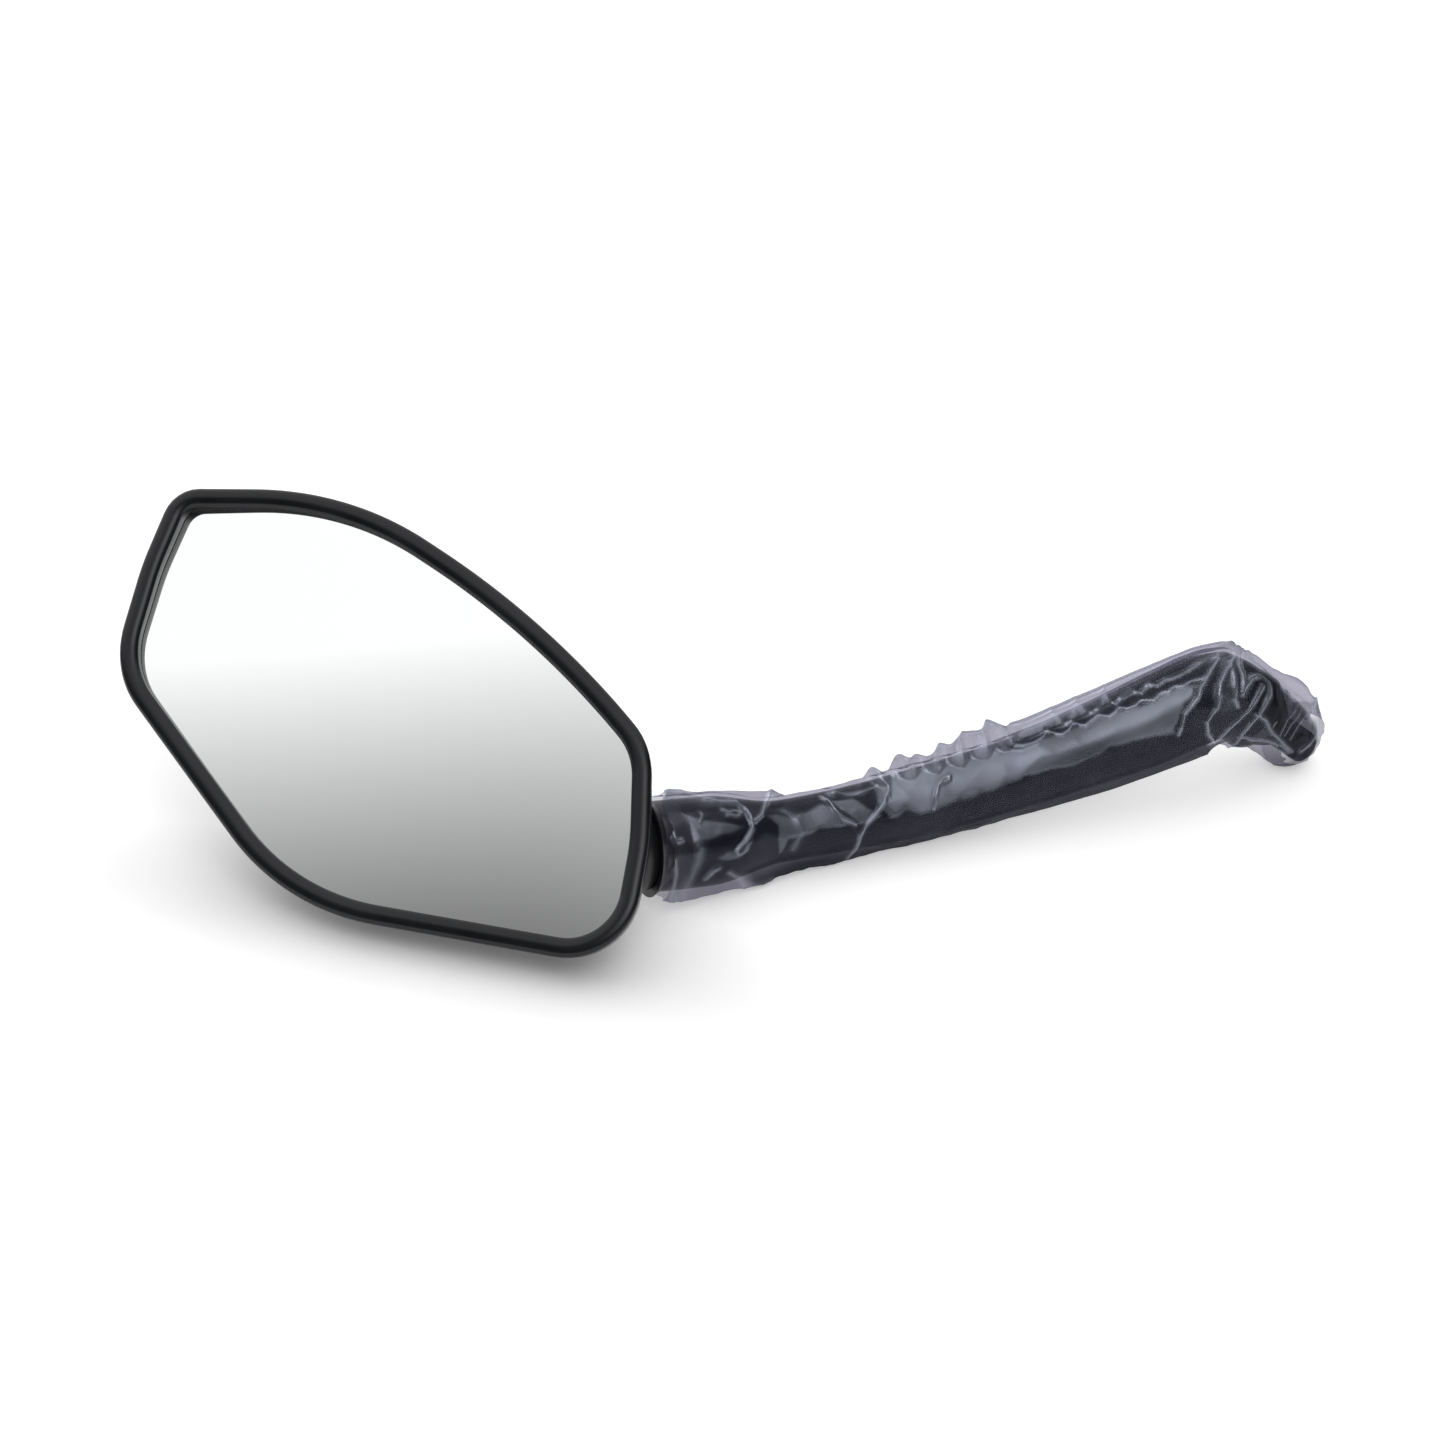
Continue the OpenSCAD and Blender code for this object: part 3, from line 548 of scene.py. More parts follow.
# Past the arm: length, height above and below the axis, and half width of the bag round the
# nut and stud
FOOT_BAG = ((193, 11.9, 10.9, 11.8), (197, 11.6, 9.7, 10.8), (200.5, 11.5, 9.0, 10.0),
            (206, 11.4, 8.9, 9.6), (212, 11.2, 8.9, 9.2), (214.5, 10.8, 8.6, 8.2),
            (217, 10.2, 7.2, 7.2), (219, 9, 5.8, 6))
# How crumpled the film is, by length along the arm
CRUMPLED = ((10, 0.9), (30, 0.7), (50, 0.8), (70, 1.0), (112, 0.7), (122, 0.25), (160, 0.3),
            (172, 0.7), (190, 1.1), (219, 1.3))
# Creases: height, half width, then points as length along the arm and angle round it
CREASES = (
    # the two lines of the weld
    (0.7, 0.5, (117, 101), (120.5, 98), (126, 98), (131, 95), (134.5, 103), (138.5, 95),
     (143.3, 104), (148, 96), (150, 105), (152.5, 101), (155.5, 99), (158.3, 106), (161.5, 101),
     (163.7, 106), (166.5, 104), (168.5, 106), (171, 106.5), (174, 105), (176.5, 102),
     (178.5, 100), (180.5, 95)),
    (0.7, 0.5, (116, 100), (118, 106), (120, 110), (123, 112), (126, 109), (128.5, 101),
     (130, 110), (132, 115.5), (134.5, 112), (136.3, 104), (137.7, 112), (139.2, 116),
     (141.5, 112), (143.8, 109), (146.3, 118), (148.5, 116), (150.2, 112), (152.2, 119),
     (155, 119.5), (157, 116), (160.3, 123), (163.3, 118), (165.5, 120.5), (167.8, 118),
     (170, 122), (172.5, 121), (175.5, 123), (177, 121)),
    # round the neck
    (0.9, 0.55, (11, 96), (12.5, 93), (16, 94), (21, 98), (27, 104), (32, 104), (34.5, 112),
     (35.3, 126), (35, 140), (32.5, 154), (29.5, 164)),
    (0.5, 0.45, (32.5, 112), (34, 122), (34.6, 134)),
    (0.6, 0.5, (27, 112), (29, 116), (31, 114), (33, 118), (31, 123), (28, 120)),
    (0.9, 0.55, (47.5, 86), (43.5, 92), (40.5, 110), (39, 122), (36, 132)),
    (0.6, 0.5, (29, 164), (30, 170), (32.5, 166), (33.5, 158)),
    (0.7, 0.6, (11, 124), (11.5, 140), (12.5, 146), (13.5, 144)),
    (0.6, 0.6, (11, 166), (12, 186), (12, 236), (13.5, 220)),
    (0.35, 1.4, (17, 120), (18.5, 140), (18, 170), (16, 200), (15, 226)),
    (0.5, 0.6, (27.5, 192), (31.5, 208), (34.5, 232), (37.5, 232), (42.5, 234)),
    (0.6, 0.7, (21, 198), (23, 186), (24, 184)),
    (0.5, 0.45, (20.5, 112), (21, 116), (19.5, 124)),
    (0.3, 0.9, (46, 118), (49, 134), (50, 156), (47.5, 184)),
    # the waist
    (0.8, 0.5, (58, 104), (59.5, 112), (60.5, 130), (62.5, 148), (66, 160)),
    (0.8, 0.5, (77, 122), (75, 138), (72, 152), (68.5, 166), (67, 182), (66, 210), (65, 234)),
    (0.5, 0.5, (60, 100), (66, 108), (71, 112), (76, 104)),
    (0.6, 0.6, (75, 98), (78, 112), (77, 128)),
    (0.5, 0.7, (80, 98), (83, 106), (89, 104), (94, 108), (98, 100)),
    (0.5, 0.7, (98, 98), (101, 106), (106, 103), (112, 108)),
    (0.7, 0.4, (89, 164), (90, 148), (92, 130), (94, 124), (96, 122), (95.5, 128), (92.5, 131)),
    (0.5, 0.5, (112, 106), (116, 112), (119, 118), (124, 116)),
    (0.2, 2.0, (118, 136), (140, 142), (158, 146), (170, 140)),
    # the folds that run down from the elbow
    (0.9, 0.5, (183, 88), (179.5, 102), (176, 126), (172.5, 142), (166.5, 154), (163.5, 174)),
    (0.9, 0.5, (184, 88), (180.5, 118), (178, 136), (176, 162), (172.5, 174), (172, 190),
     (174, 210)),
    (0.7, 0.5, (181, 110), (181, 132), (180.5, 156), (181.5, 166)),
    (0.8, 0.5, (184.5, 88), (182.5, 114), (183, 130), (182.5, 152)),
    (0.7, 0.6, (185, 86), (186, 100), (189.5, 112), (193, 118), (202.5, 122), (210, 136)),
    (0.8, 0.6, (182.5, 150), (184.5, 130), (187, 122), (189, 126), (189.5, 140), (189, 156),
     (188.5, 170), (187.5, 184), (187, 204), (193, 246)),
    (0.7, 0.6, (187.5, 134), (186.5, 150), (185, 170), (182.5, 184), (178.5, 202), (175, 212)),
    (0.6, 0.6, (187.5, 172), (191.5, 174), (197.5, 184), (203.5, 188), (208, 194)),
    (0.6, 0.6, (187, 210), (194.5, 204), (201, 200), (204.5, 194), (208, 196)),
    # round the thread
    (0.4, 0.4, (202.5, 126), (200.5, 156), (201.5, 180)),
    (0.4, 0.4, (204.5, 130), (203, 156), (203, 176)),
    (0.4, 0.4, (206.5, 134), (205.5, 154), (205.5, 176)),
    (0.5, 0.5, (203, 196), (206, 190), (209.5, 193), (208, 203), (204, 205), (203, 196)),
    (0.6, 0.7, (212, 90), (211, 120), (214, 150), (212, 182)),
)
# Patches where the film stands off the arm and a sheen is painted on it: share, softness of the
# edge, then corners
LIFTED_AND_SHEEN = (
    (1.3, 3, (76, 104), (83.5, 103), (89, 104), (104, 101), (111.5, 99), (117.5, 113),
     (126, 116), (128, 140), (117, 154), (107, 157), (98, 159), (90, 163), (85.5, 162),
     (82.5, 152), (78, 157), (75, 142)),
    (0.75, 1.4, (75.5, 104), (76.5, 116), (83.5, 102), (89, 103), (96, 100), (104, 100),
     (111.5, 98), (117.5, 112), (123, 114), (130, 112), (132, 118), (137.5, 115), (139.5, 118),
     (144, 112), (147, 119), (150, 116), (153, 121), (160, 124), (165, 122), (171.5, 125),
     (175, 130), (172.5, 140), (166.5, 152), (163, 171), (156, 164), (150, 160), (143, 157),
     (137, 163), (131, 161), (117, 155), (107, 158), (98, 160), (90, 165), (85.5, 164),
     (82.5, 156), (79, 163), (76, 160), (74.5, 146), (74.5, 120)),
    (0.8, 1.2, (16, 114), (22, 126), (33, 140), (28.5, 144), (21.5, 148), (17.5, 150),
     (16.5, 138)),
    (0.75, 1.4, (41.5, 126), (44.5, 126), (48, 134), (52.5, 130), (59, 120), (62, 132),
     (65.5, 154), (62, 160), (57, 157), (54, 164), (49, 164), (46.5, 168), (45, 186),
     (43.8, 188), (42.5, 160), (44, 142)),
    (0.75, 1.0, (61.5, 118), (67, 118), (71.5, 144), (73.5, 154), (70.5, 166), (67.5, 160),
     (64, 138)),
    (0.6, 1.0, (23.5, 172), (27, 164), (30, 170), (33.5, 158), (32.5, 168), (30, 174),
     (26, 175)),
    (0.4, 4, (179, 100), (183, 92), (184.5, 100), (184, 130), (182, 156), (178.5, 170),
     (177.5, 150), (179.5, 120)),
    (0.15, 2.2, (12, 104), (16, 114), (16, 140), (15, 160), (14.5, 190), (13.5, 210), (11, 222),
     (9, 174), (9, 142)),
)
# Patches where it is darkened, set down in the same way: where its layers are bunched, and, as
# # painted shade, in the last row along its underside
BUNCHED_AND_SHADED = (
    (1, 2.6, (189, 108), (193, 116), (202.5, 120), (211, 132), (217.5, 156), (217.5, 192),
     (211, 204), (204, 192), (197, 186), (192, 178), (187, 172), (187, 130)),
    (0.9, 0.8, (203, 196), (206, 190), (209.5, 193), (208, 203), (204, 205)),
    (0.25, 6, (4, 84), (15, 88), (15, 104), (4, 104)),
    (0.4, 1.5, (213, -10), (225, -10), (225, 370), (213, 370)),
    # painted shade along the underside
    (0.85, 4, (38, 224), (50, 214), (184, 214), (184, 280), (38, 280)),
)
FILM_START, FILM_END = 10.85, 218.6
FILM_AROUND, FILM_ALONG = 162, 600
FLAP_ANGLE = math.radians(92)
# Half width of a crease's core, where the film touches what it wraps
CORE = 0.85
# The cut mouths' unevenness as height, waves round and shift, and how much of the length it
# takes up.
RAGGED = ((0.35, 17, 0), (0.5, 9, 1))
MOUTH = 1 / 60
# Where the flap is pleated, how far its pleats sway from side to side in degrees, and their
# waves in radians per millimetre
PLEATS, PLEAT_SWAY, PLEAT_WAVES = (48, 112), 5, 0.83
# Sizes of the broad waves and of the small and tiny creases, and how steeply those creases
# fall away from where their noise is zero
BROAD, SMALL, TINY, CREST = 17.0, 8.0, 3.6, 2.4


def table_at(rows, column, s):
    """A column of a table at length s, read between its rows."""
    return np.interp(s, [row[0] for row in rows], [row[column] for row in rows])


def away(a, b):
    """Smallest angle between two angles, in radians."""
    return np.abs((a - b + math.pi) % (2 * math.pi) - math.pi)


def distance_to(s, angle, radius, start, end):
    """Distance over the film from each place to a line between two places, in millimetres."""
    across = np.radians(end[1] - start[1]) * radius
    along = end[0] - start[0]
    x = s - start[0]
    y = (angle - math.radians(start[1])) * radius
    t = np.clip((x * along + y * across) / (along * along + across * across), 0, 1)
    return np.hypot(x - t * along, y - t * across)


def crease_heights(s, angle, radius):
    """Height of the listed creases, how sharply each place is folded, and the core of
    each crease, where the film touches what it wraps."""
    height, fold, core = np.zeros_like(s), np.zeros_like(s), np.zeros_like(s)
    for tall, wide, *points in CREASES:
        lines = zip(points, points[1:])
        nearest = np.minimum.reduce([distance_to(s, angle, radius, *line) for line in lines])
        ridge = np.exp(-((nearest / wide) ** 1.5))
        height = np.maximum(height, tall * ridge)
        fold = np.maximum(fold, min(1, tall * 1.2) * ridge)
        core = np.maximum(core, tall * np.exp(-((nearest / CORE) ** 2)))
    return height, fold, core


def patch_shares(patches, s, angle, radius):
    """How far each place lies inside one of the patches, from 0 to 1."""
    shares, degrees = np.zeros_like(s), np.degrees(angle)
    for share, soft, *corners in patches:
        inside = np.zeros(s.shape, bool)
        nearest = np.full_like(s, 1e9)
        for start, end in zip(corners, corners[1:] + corners[:1]):
            nearest = np.minimum(nearest, distance_to(s, angle, radius, start, end))
            (s0, a0), (s1, a1) = start, end
            if a0 != a1:
                crossing = s0 + (degrees - a0) / (a1 - a0) * (s1 - s0)
                inside ^= ((a0 > degrees) != (a1 > degrees)) & (s < crossing)
        depth = np.where(inside, nearest, -nearest)
        shares = np.maximum(shares, share * ease(0.5 + depth / soft))
    return shares


def film_surface(s, angle, gap, crumple, sway):
    """The film's points at length s and angle, and its fold, lift and dense values."""
    first, last = PLEATS
    ruffle = np.sin(s * PLEAT_WAVES) * ease((s - first) / 8) * (1 - ease((s - last) / 10))
    top = FLAP_ANGLE + np.radians(PLEAT_SWAY * ruffle)
    angle = angle + (top - FLAP_ANGLE) * ease(1 - away(angle, FLAP_ANGLE) / 0.7)
    down = ease(0.5 - np.sin(angle) / 0.5)
    up = arm_thickness(s) / 2 + gap + elbow_crown(s) * np.maximum(np.sin(angle), 0)
    side = arm_width(s) / 2 + gap
    past = ease((s - S_FACE + 1) / 3)
    bag = table_at(FOOT_BAG, 1, s) * (1 - down) + table_at(FOOT_BAG, 2, s) * down
    up = up + (bag - up) * past
    side = side + (table_at(FOOT_BAG, 3, s) - side) * past
    radius = (up + side) / 2

    tall = sum(table_at(TOP_FLAP, 1, s + shift) for shift in (-0.6, -0.2, 0.2, 0.6)) / 4
    width = np.radians(19 - 9 * ease((s - last) / 12))
    flap = np.maximum(0, 1 - away(angle, top) / width) ** 1.5
    low = np.radians(table_at(LOW_FOLD, 1, s))
    deep = np.maximum(table_at(LOW_FOLD, 2, s), 0.01)
    reach = np.arccos(radius / (radius + deep))
    hull = 1 / np.cos(np.maximum(reach - away(angle, low), 0)) - 1

    where = beside(s, up * np.sin(angle), side * np.cos(angle))
    rough = table_at(CRUMPLED, 1, s)
    broad = noise_at(where * (1, 1, 1.3), BROAD)
    small = 1 - CREST * np.abs(noise_at(where, SMALL, 3.7))
    tiny = 1 - CREST * np.abs(noise_at(where, TINY, 9.1))
    front = angle % (2 * math.pi)
    ridges, fold, core = crease_heights(s, front, radius)
    uneven = 1.6 * broad + 1.1 * small
    # the lifted patches, which also carry a painted sheen in the film's material
    lift_and_sheen = patch_shares(LIFTED_AND_SHEEN, s + uneven, front + 0.05 * small, radius)
    lift_and_sheen *= (1 - core) * (0.8 + 0.5 * broad)
    # the darkened patches: bunched layers, and painted shade along the underside
    dense_and_shade = patch_shares(BUNCHED_AND_SHADED, s + 0.6 * uneven, front, radius)
    grow = sway * broad * (0.5 + rough / 2) + crumple * rough * (0.85 * small + 0.15 * tiny)
    grow = np.maximum(grow + 0.12, 0.2 - gap) + ridges + 0.3 * lift_and_sheen
    grow = grow + tall * flap + hull * radius
    points = beside(s, (up + grow) * np.sin(angle), (side + grow) * np.cos(angle))
    fold = np.clip(0.9 * fold + 0.35 * flap * np.minimum(tall / 5, 1), 0, 1)
    return points, {"fold": fold, "lift_and_sheen": lift_and_sheen, "dense_and_shade": dense_and_shade}


# ---------- Operators ----------


class MIRROR_OT_stage(bpy.types.Operator):
    """Makes the camera, the floor and the studio light"""
    bl_idname = "mirror.stage"
    bl_label = "Stage"

    def execute(self, context):
        scene = context.scene
        scene.view_settings.view_transform = "Standard"
        lens = bpy.data.cameras.new("camera")
        lens.lens, lens.sensor_width = LENS, SENSOR
        camera = bpy.data.objects.new("camera", lens)
        camera.location = TARGET + CAMERA_OFFSET
        camera.rotation_euler = (TARGET - camera.location).to_track_quat("-Z", "Y").to_euler()
        scene.collection.objects.link(camera)
        scene.camera = camera

        bm = bmesh.new()
        bmesh.ops.create_grid(bm, x_segments=1, y_segments=1, size=FLOOR_HALF)
        mesh = bpy.data.meshes.new("floor")
        bmesh.ops.translate(bm, verts=bm.verts, vec=(0, 0, CAD_BOX[0].z - FLOOR_GAP))
        bm.to_mesh(mesh)
        bm.free()
        floor = bpy.data.objects.new("floor", mesh)
        scene.collection.objects.link(floor)
        mesh.materials.append(self.floor_material())
        scene.world = self.studio()
        return {"FINISHED"}

    def floor_material(self):
        """Pale matt floor that the camera sees as white where nothing shades it."""
        material, tree, principled = shader("floor_paper", (0.87, 0.87, 0.87), 0.9,
                                            Specular_IOR_Level=0.0)
        grain = speckle(tree, 30, 2)
        tree.links.new(tint(tree, grain, (0.86, 0.86, 0.86), (0.88, 0.88, 0.88)),
                       principled.inputs["Base Color"])
        seen = tree.nodes.new("ShaderNodeLightPath")
        share = seen.outputs["Is Camera Ray"]
        for ray in ("Is Glossy Ray", "Is Transmission Ray"):
            share = calc(tree, "MAXIMUM", share, seen.outputs[ray])
        glow = tree.nodes.new("ShaderNodeEmission")
        tree.links.new(calc(tree, "MULTIPLY", share, self.glow_with_painted_shadow(tree)),
                       glow.inputs["Strength"])
        total = tree.nodes.new("ShaderNodeAddShader")
        tree.links.new(principled.outputs[0], total.inputs[0])
        tree.links.new(glow.outputs[0], total.inputs[1])
        tree.links.new(total.outputs[0], tree.nodes["Material Output"].inputs["Surface"])
        return material

    def glow_with_painted_shadow(self, tree):
        """The glow, lowered in an ellipse under the resting head: a painted shadow that deepens
        the shadow where the head meets the floor, and it stays there when the head moves."""
        place = tree.nodes.new("ShaderNodeTexCoord")
        under = tree.nodes.new("ShaderNodeMapping")
        under.vector_type = "TEXTURE"
        under.inputs["Location"].default_value = PAINTED_SHADOW_PLACE
        under.inputs["Rotation"].default_value = (0, 0, math.radians(PAINTED_SHADOW_TURN))
        under.inputs["Scale"].default_value = PAINTED_SHADOW_RADII
        far = tree.nodes.new("ShaderNodeVectorMath")
        far.operation = "LENGTH"
        tree.links.new(place.outputs["Object"], under.inputs["Vector"])
        tree.links.new(under.outputs["Vector"], far.inputs[0])
        return spread(tree, far.outputs["Value"], PAINTED_SHADOW_GLOW, GLOW, PAINTED_SHADOW_INNER, PAINTED_SHADOW_OUTER)

    def studio(self):
        """A broad soft light from above and behind, fading to grey towards the front, and a
        narrower one above the camera."""
        world = bpy.data.worlds.new("studio")
        world.use_nodes = True
        tree = world.node_tree
        looks = calc(tree, "MULTIPLY_ADD", self.towards(tree, SKY_WAY),
                     SKY_SLOPE / (1 + TOE), (TOE + SKY_START) / (1 + TOE))
        capped = tree.nodes.new("ShaderNodeClamp")
        capped.inputs["Min"].default_value = SKY_DARKEST
        capped.inputs["Max"].default_value = SKY_BRIGHTEST
        tree.links.new(looks, capped.inputs["Value"])
        broad = calc(tree, "POWER", capped.outputs[0], LIGHT_POWER)
        narrow = calc(tree, "POWER", calc(tree, "MAXIMUM", self.towards(tree, SPOT_WAY), 0),
                      SPOT_POWER)
        seen = tree.nodes.new("ShaderNodeLightPath")
        shown = tree.nodes.new("ShaderNodeMix")
        shown.inputs["B"].default_value = 1.0
        tree.links.new(seen.outputs["Is Camera Ray"], shown.inputs["Factor"])
        tree.links.new(calc(tree, "MULTIPLY_ADD", narrow, SPOT_LEVEL, broad),
                       shown.inputs["A"])
        tree.links.new(shown.outputs["Result"], tree.nodes["Background"].inputs["Strength"])
        tree.nodes["Background"].inputs["Color"].default_value = (1, 1, 1, 1)
        return world

    def towards(self, tree, way):
        """How far each direction points along way, from -1 to 1."""
        place = tree.nodes.new("ShaderNodeTexCoord")
        product = tree.nodes.new("ShaderNodeVectorMath")
        product.operation = "DOT_PRODUCT"
        product.inputs[1].default_value = way
        tree.links.new(place.outputs["Generated"], product.inputs[0])
        return product.outputs["Value"]


class MIRROR_OT_rim(bpy.types.Operator):
    """Makes the rim: a rounded bead with a groove that holds the glass"""
    bl_idname = "mirror.rim"
    bl_label = "Rim"

    def execute(self, context):
        sizes = context.scene.mirror_head
        bead, tall = sizes.bead_width / MM, sizes.bead_height / MM
        thick, glass_top = sizes.glass_thickness / MM, tall - GLASS_DROP
        steps = 20
        # up past the glass's edge and over it, round the bead, then down the outside
        profile = [(GLASS_INSET - 0.25, RIM_BOTTOM, 0),
                   (GLASS_INSET - 0.2, glass_top - thick - 0.05, 1),
                   (GLASS_INSET - 0.2, glass_top + 0.1, 1),
                   (bead - 0.15, glass_top + 0.1, 1), (bead, glass_top + 0.25, 1)]
        for i in range(steps, -1, -1):
            a = math.pi * i / steps
            profile.append((bead * (1 - math.cos(a)) / 2, tall * (0.2 + 0.8 * math.sin(a)), 0))
        profile += [(0.84, RIM_BOTTOM * 0.55, 0), (1.8, RIM_BOTTOM * 0.9, 0),
                    (2.15, RIM_BOTTOM * 0.985, 0), (2.4, RIM_BOTTOM, 0)]
        bm = bmesh.new()
        follow = sweep_outline(bm, profile)
        for vert in bm.verts:
            vert.co.z += vert[follow] * curve_down(vert.co, sizes.glass_radius / MM)
        bmesh.ops.recalc_face_normals(bm, faces=bm.faces)
        material = moulded("satin_black_rim", context.scene.mirror_colours.rim, 0.22, 2600,
                           0.01, Specular_IOR_Level=0.36)
        new_piece(bm, "rim", "head", material, ("rim_bezel",), head_matrix())
        return {"FINISHED"}


class MIRROR_OT_glass(bpy.types.Operator):
    """Makes the convex mirror glass, cut to the rim's groove"""
    bl_idname = "mirror.glass"
    bl_label = "Mirror glass"

    def execute(self, context):
        sizes = context.scene.mirror_head
        thick, top = sizes.glass_thickness / MM, sizes.bead_height / MM - GLASS_DROP
        bm = bmesh.new()
        bmesh.ops.create_grid(bm, x_segments=64, y_segments=44, size=1)
        bmesh.ops.scale(bm, verts=bm.verts, vec=GLASS_SHEET)
        # cut by planes along the outline, one at each step round its corners
        for centre, r, start, turn in outline_corners():
            steps = max(4, math.ceil(turn * r / 2.5))
            for i in range(steps + 1):
                a = start + turn * i / steps
                out = Vector((math.cos(a), math.sin(a), 0))
                edge = centre.to_3d() + out * (r - GLASS_INSET)
                bmesh.ops.bisect_plane(
                    bm, geom=bm.verts[:] + bm.edges[:] + bm.faces[:], dist=1e-4,
                    plane_co=edge, plane_no=out, clear_outer=True,
                )
        bmesh.ops.remove_doubles(bm, verts=bm.verts, dist=0.02)
        for vert in bm.verts:
            vert.co.z = top + curve_down(vert.co, sizes.glass_radius / MM)
        grown = bmesh.ops.extrude_face_region(bm, geom=bm.faces[:])["geom"]
        under = [g for g in grown if isinstance(g, bmesh.types.BMVert)]
        bmesh.ops.translate(bm, verts=under, vec=(0, 0, -thick))
        bmesh.ops.recalc_face_normals(bm, faces=bm.faces)
        new_piece(bm, "glass", "head", mirror_coating(), ("mirror_glass",),
                  head_matrix())
        return {"FINISHED"}


class MIRROR_OT_back_shell(bpy.types.Operator):
    """Makes the domed back shell with the recess of the ball joint"""
    bl_idname = "mirror.back_shell"
    bl_label = "Back shell"

    def execute(self, context):
        material = moulded("moulded_black_shell", context.scene.mirror_colours.shell, 0.42,
                           1500, 0.03)
        smooth_copy("head_shell", "back_shell", "head", material, 24)
        return {"FINISHED"}


class MIRROR_OT_ball_joint(bpy.types.Operator):
    """Makes the ball joint: skirt, ball, nylon seats, clamp, screws and springs"""
    bl_idname = "mirror.ball_joint"
    bl_label = "Ball joint"

    def execute(self, context):
        skirt = moulded("skirt_black", context.scene.mirror_colours.skirt, 0.32, 1800, 0.015)
        smooth_copy("neck_skirt", "skirt", "arm", skirt)
        steel = metal("ground_steel", (0.5, 0.5, 0.51), 0.2)
        smooth_copy("ball_stud", "ball", "arm", steel)
        nylon = moulded("white_nylon", (0.74, 0.72, 0.66), 0.45, 1400, 0.01)
        smooth_copy("seat_ring", "ball_ring", "seat_roll", nylon)
        smooth_copy("seat_cup", "ball_cup", "seat_nod", nylon)
        pressed = metal("pressed_zinc", (0.52, 0.53, 0.55), 0.34)
        smooth_copy("socket_clamp", "clamp", "head", pressed)
        screws = metal("zinc_screws", (0.6, 0.61, 0.63), 0.3)
        smooth_copy("clamp_screws", "clamp_screw_pair", "head", screws)
        spring = metal("spring_wire", (0.42, 0.42, 0.43), 0.3, stretch=(1, 1, 3))
        smooth_copy("clamp_springs", "clamp_spring_pair", "head", spring)
        return {"FINISHED"}


class MIRROR_OT_arm(bpy.types.Operator):
    """Makes the arm's two shells, with the parting line between them"""
    bl_idname = "mirror.arm"
    bl_label = "Arm shells"

    def execute(self, context):
        sides = context.scene.mirror_arm.shell_sides
        gloss = moulded("glossy_blue_black", context.scene.mirror_colours.arm, 0.22, 400,
                        0.004, 0, Specular_IOR_Level=0.3)
        for name, side, node in (("front_shell", -1, "arm_front_shell"),
                                 ("rear_shell", 1, "arm_rear_shell")):
            bm = bmesh.new()
            bmesh.ops.create_grid(bm, x_segments=sides, y_segments=ARM_ROWS, size=1)
            uv = np.array([v.co[:2] for v in bm.verts])
            s = ARM_START + (S_FACE - ARM_START) * (uv[:, 1] + 1) / 2
            angle = math.pi / 2 - side * math.pi * (uv[:, 0] + 1) / 2
            outer = arm_point(s, 0, angle)
            turn = math.radians(ARM_AZIMUTH)
            apart = side * SEAM * Vector((-math.sin(turn), math.cos(turn), 0))
            for vert, point in zip(bm.verts, outer):
                vert.co = Vector(point) + apart
            bmesh.ops.recalc_face_normals(bm, faces=bm.faces)
            middle = beside(s, 0, 0)
            if sum((v.co - Vector(m)).dot(v.normal) for v, m in zip(bm.verts, middle)) < 0:
                bmesh.ops.reverse_faces(bm, faces=bm.faces)
            bmesh.ops.solidify(bm, geom=bm.faces[:], thickness=ARM_WALL)
            new_piece(bm, name, "arm", gloss, (node,), sharp=40)
        return {"FINISHED"}


class MIRROR_OT_foot(bpy.types.Operator):
    """Makes the steel rod with its threaded foot, and the collar, washer and lock nut"""
    bl_idname = "mirror.foot"
    bl_label = "Threaded foot"

    def execute(self, context):
        steel = context.scene.mirror_colours.steel
        plated = metal("dark_plating", steel, 0.34, 700, 0.01)
        bm = merged_copy("stem_rod")
        place = foot_matrix(S_FREE)
        cut = bmesh.ops.bisect_plane(
            bm, geom=bm.verts[:] + bm.edges[:] + bm.faces[:], dist=1e-4,
            plane_co=place @ Vector((0, 0, 0.2)), plane_no=place.to_3x3() @ Vector((0, 0, 1)),
            clear_outer=True,
        )["geom_cut"]
        bmesh.ops.edgeloop_fill(bm, edges=[g for g in cut if isinstance(g, bmesh.types.BMEdge)])
        self.add_thread(bm, place, context.scene.mirror_arm.thread_depth / MM)
        new_piece(bm, "rod", "arm", plated, ("stem_rod",), sharp=40)
        ring = metal("dark_collar", [c * 0.8 for c in steel], 0.4, 700, 0.01)
        smooth_copy("foot_collar", "collar", "arm", ring)
        smooth_copy("foot_washer", "washer", "washer", plated)
        smooth_copy("lock_nut", "nut", "nut", plated, 20)
        return {"FINISHED"}

    def add_thread(self, bm, place, depth):
        """Adds the threaded stud, whose thread runs out at the root and the chamfered tip."""
        rows, tip = THREAD_ROWS, S_TIP - S_FREE
        verts = bmesh.ops.create_grid(bm, x_segments=THREAD_COLUMNS, y_segments=rows,
                                      size=1)["verts"]
        u = np.array([v.co.x for v in verts])
        row = np.rint((np.array([v.co.y for v in verts]) + 1) / 2 * rows)
        turn = math.pi * (u + 1)
        z = THREAD_START + (tip - THREAD_START) * np.clip((row - 1) / (rows - 2), 0, 1)
        wave = np.abs((z / PITCH - turn / (2 * math.pi)) % 1 - 0.5) * 2
        cut = depth * ease((z - 0.2) / PITCH) * np.clip(wave * 1.4 - 0.2, 0, 1)
        r = np.minimum(STUD_R - cut, STUD_R - 1 + tip - z)
        r = np.where((row == 0) | (row == rows), 0, r)
        for vert, radius, a, height in zip(verts, r, turn, z):
            vert.co = place @ Vector((radius * math.cos(a), radius * math.sin(a), height))
        bmesh.ops.remove_doubles(bm, verts=verts, dist=1e-3)
        bmesh.ops.recalc_face_normals(bm, faces=bm.faces)


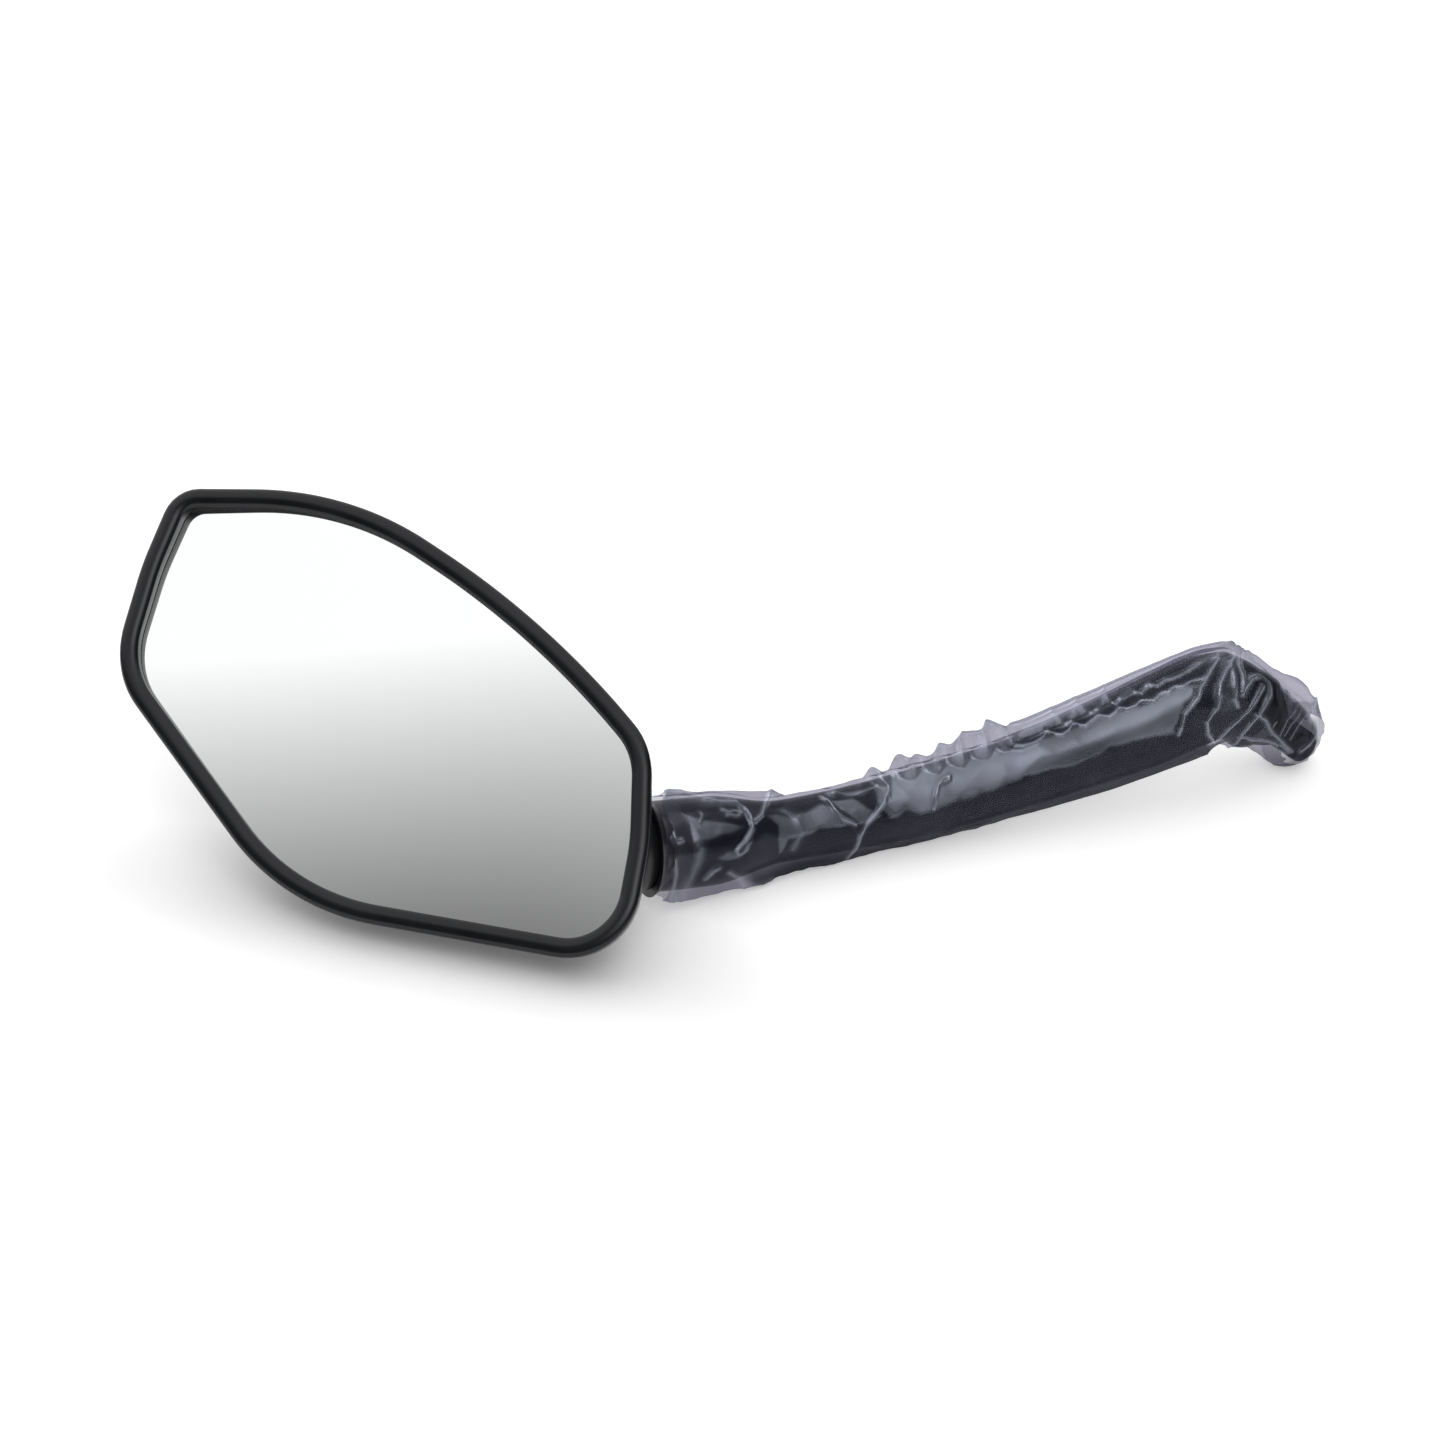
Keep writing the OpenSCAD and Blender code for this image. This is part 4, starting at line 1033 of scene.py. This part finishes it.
class MIRROR_OT_film(bpy.types.Operator):
    """Makes the clear film sleeve round the arm and foot"""
    bl_idname = "mirror.film"
    bl_label = "Film sleeve"

    def execute(self, context):
        sizes = context.scene.mirror_film
        bm = bmesh.new()
        bmesh.ops.create_grid(bm, x_segments=FILM_AROUND, y_segments=FILM_ALONG, size=1)
        uv = np.array([v.co[:2] for v in bm.verts], float)
        angle = math.pi * (1 + uv[:, 0] - 0.13 * np.sin(math.pi * uv[:, 0]))
        nearest = angle[away(angle, FLAP_ANGLE).argmin()]
        angle += (FLAP_ANGLE - nearest) * ease(1 - away(angle, FLAP_ANGLE) / 0.5)
        share = (uv[:, 1] + 1) / 2
        s = FILM_START + (FILM_END - FILM_START) * share
        ragged = sum(np.sin(angle * waves + shift) * tall for tall, waves, shift in RAGGED)
        mouth = np.minimum(share, 1 - share) / MOUTH
        s = s + ragged * np.maximum(0, 1 - mouth)
        points, values = film_surface(s, angle, sizes.gap / MM, sizes.crumple / MM,
                                      sizes.sway / MM)
        points[:, 2] = np.maximum(points[:, 2], CAD_BOX[0].z / MM + 0.1)  # clear of the floor
        for vert, point in zip(bm.verts, points):
            vert.co = point
        for name, shares in values.items():
            layer = bm.verts.layers.float.new(name)
            for vert, value in zip(bm.verts, shares):
                vert[layer] = value
        bmesh.ops.remove_doubles(bm, verts=bm.verts, dist=0.004)
        bmesh.ops.recalc_face_normals(bm, faces=bm.faces)
        film = new_piece(bm, "film", "arm", film_plastic(context.scene.mirror_colours.film),
                         ("film_sleeve",), sharp=180)
        return {"FINISHED"}


class MIRROR_OT_inner_parts(bpy.types.Operator):
    """Finishes the pieces inside: foam pad, rubber bushes and the arm's screws"""
    bl_idname = "mirror.inner_parts"
    bl_label = "Inner parts"

    def execute(self, context):
        nodes = frame["nodes"]
        foam = moulded("grey_foam", (0.05, 0.05, 0.055), 0.9, 1100, 0.12)
        rubber = moulded("black_rubber", (0.016, 0.016, 0.017), 0.65, 900, 0.02)
        small = metal("black_screws", (0.2, 0.2, 0.21), 0.35)
        for name, material in (("glass_pad", foam), ("neck_bush", rubber),
                               ("mid_bush", rubber), ("foot_bush", rubber),
                               ("arm_screws", small)):
            nodes[name].data.materials.clear()
            nodes[name].data.materials.append(material)
        return {"FINISHED"}


class MIRROR_PT_panel(bpy.types.Panel):
    """Lists the mirror's sizes, colours and pieces"""
    bl_idname = "MIRROR_PT_panel"
    bl_label = "Motorcycle Mirror"
    bl_space_type = "VIEW_3D"
    bl_region_type = "UI"
    bl_category = "Mirror"

    def draw(self, context):
        for name in GROUPS:
            column = self.layout.column(align=True)
            group = getattr(context.scene, name)
            for key in group.__annotations__:
                column.prop(group, key)
        for operator in STEPS:
            self.layout.operator(operator.bl_idname)


GROUPS = {
    "mirror_head": HeadSizes, "mirror_arm": ArmSizes, "mirror_film": FilmSizes,
    "mirror_colours": Colours,
}
STEPS = (
    MIRROR_OT_stage, MIRROR_OT_rim, MIRROR_OT_glass, MIRROR_OT_back_shell,
    MIRROR_OT_ball_joint, MIRROR_OT_arm, MIRROR_OT_foot, MIRROR_OT_film,
    MIRROR_OT_inner_parts,
)


def register():
    for item in (*GROUPS.values(), *STEPS, MIRROR_PT_panel):
        bpy.utils.register_class(item)
    for name, group in GROUPS.items():
        setattr(bpy.types.Scene, name, PointerProperty(type=group))


def unregister():
    for name in GROUPS:
        delattr(bpy.types.Scene, name)
    for item in (MIRROR_PT_panel, *reversed(STEPS), *reversed(GROUPS.values())):
        bpy.utils.unregister_class(item)


def main():
    register()
    for step in STEPS:
        group, name = step.bl_idname.split(".")
        getattr(getattr(bpy.ops, group), name)()


if __name__ == "__main__":
    main()
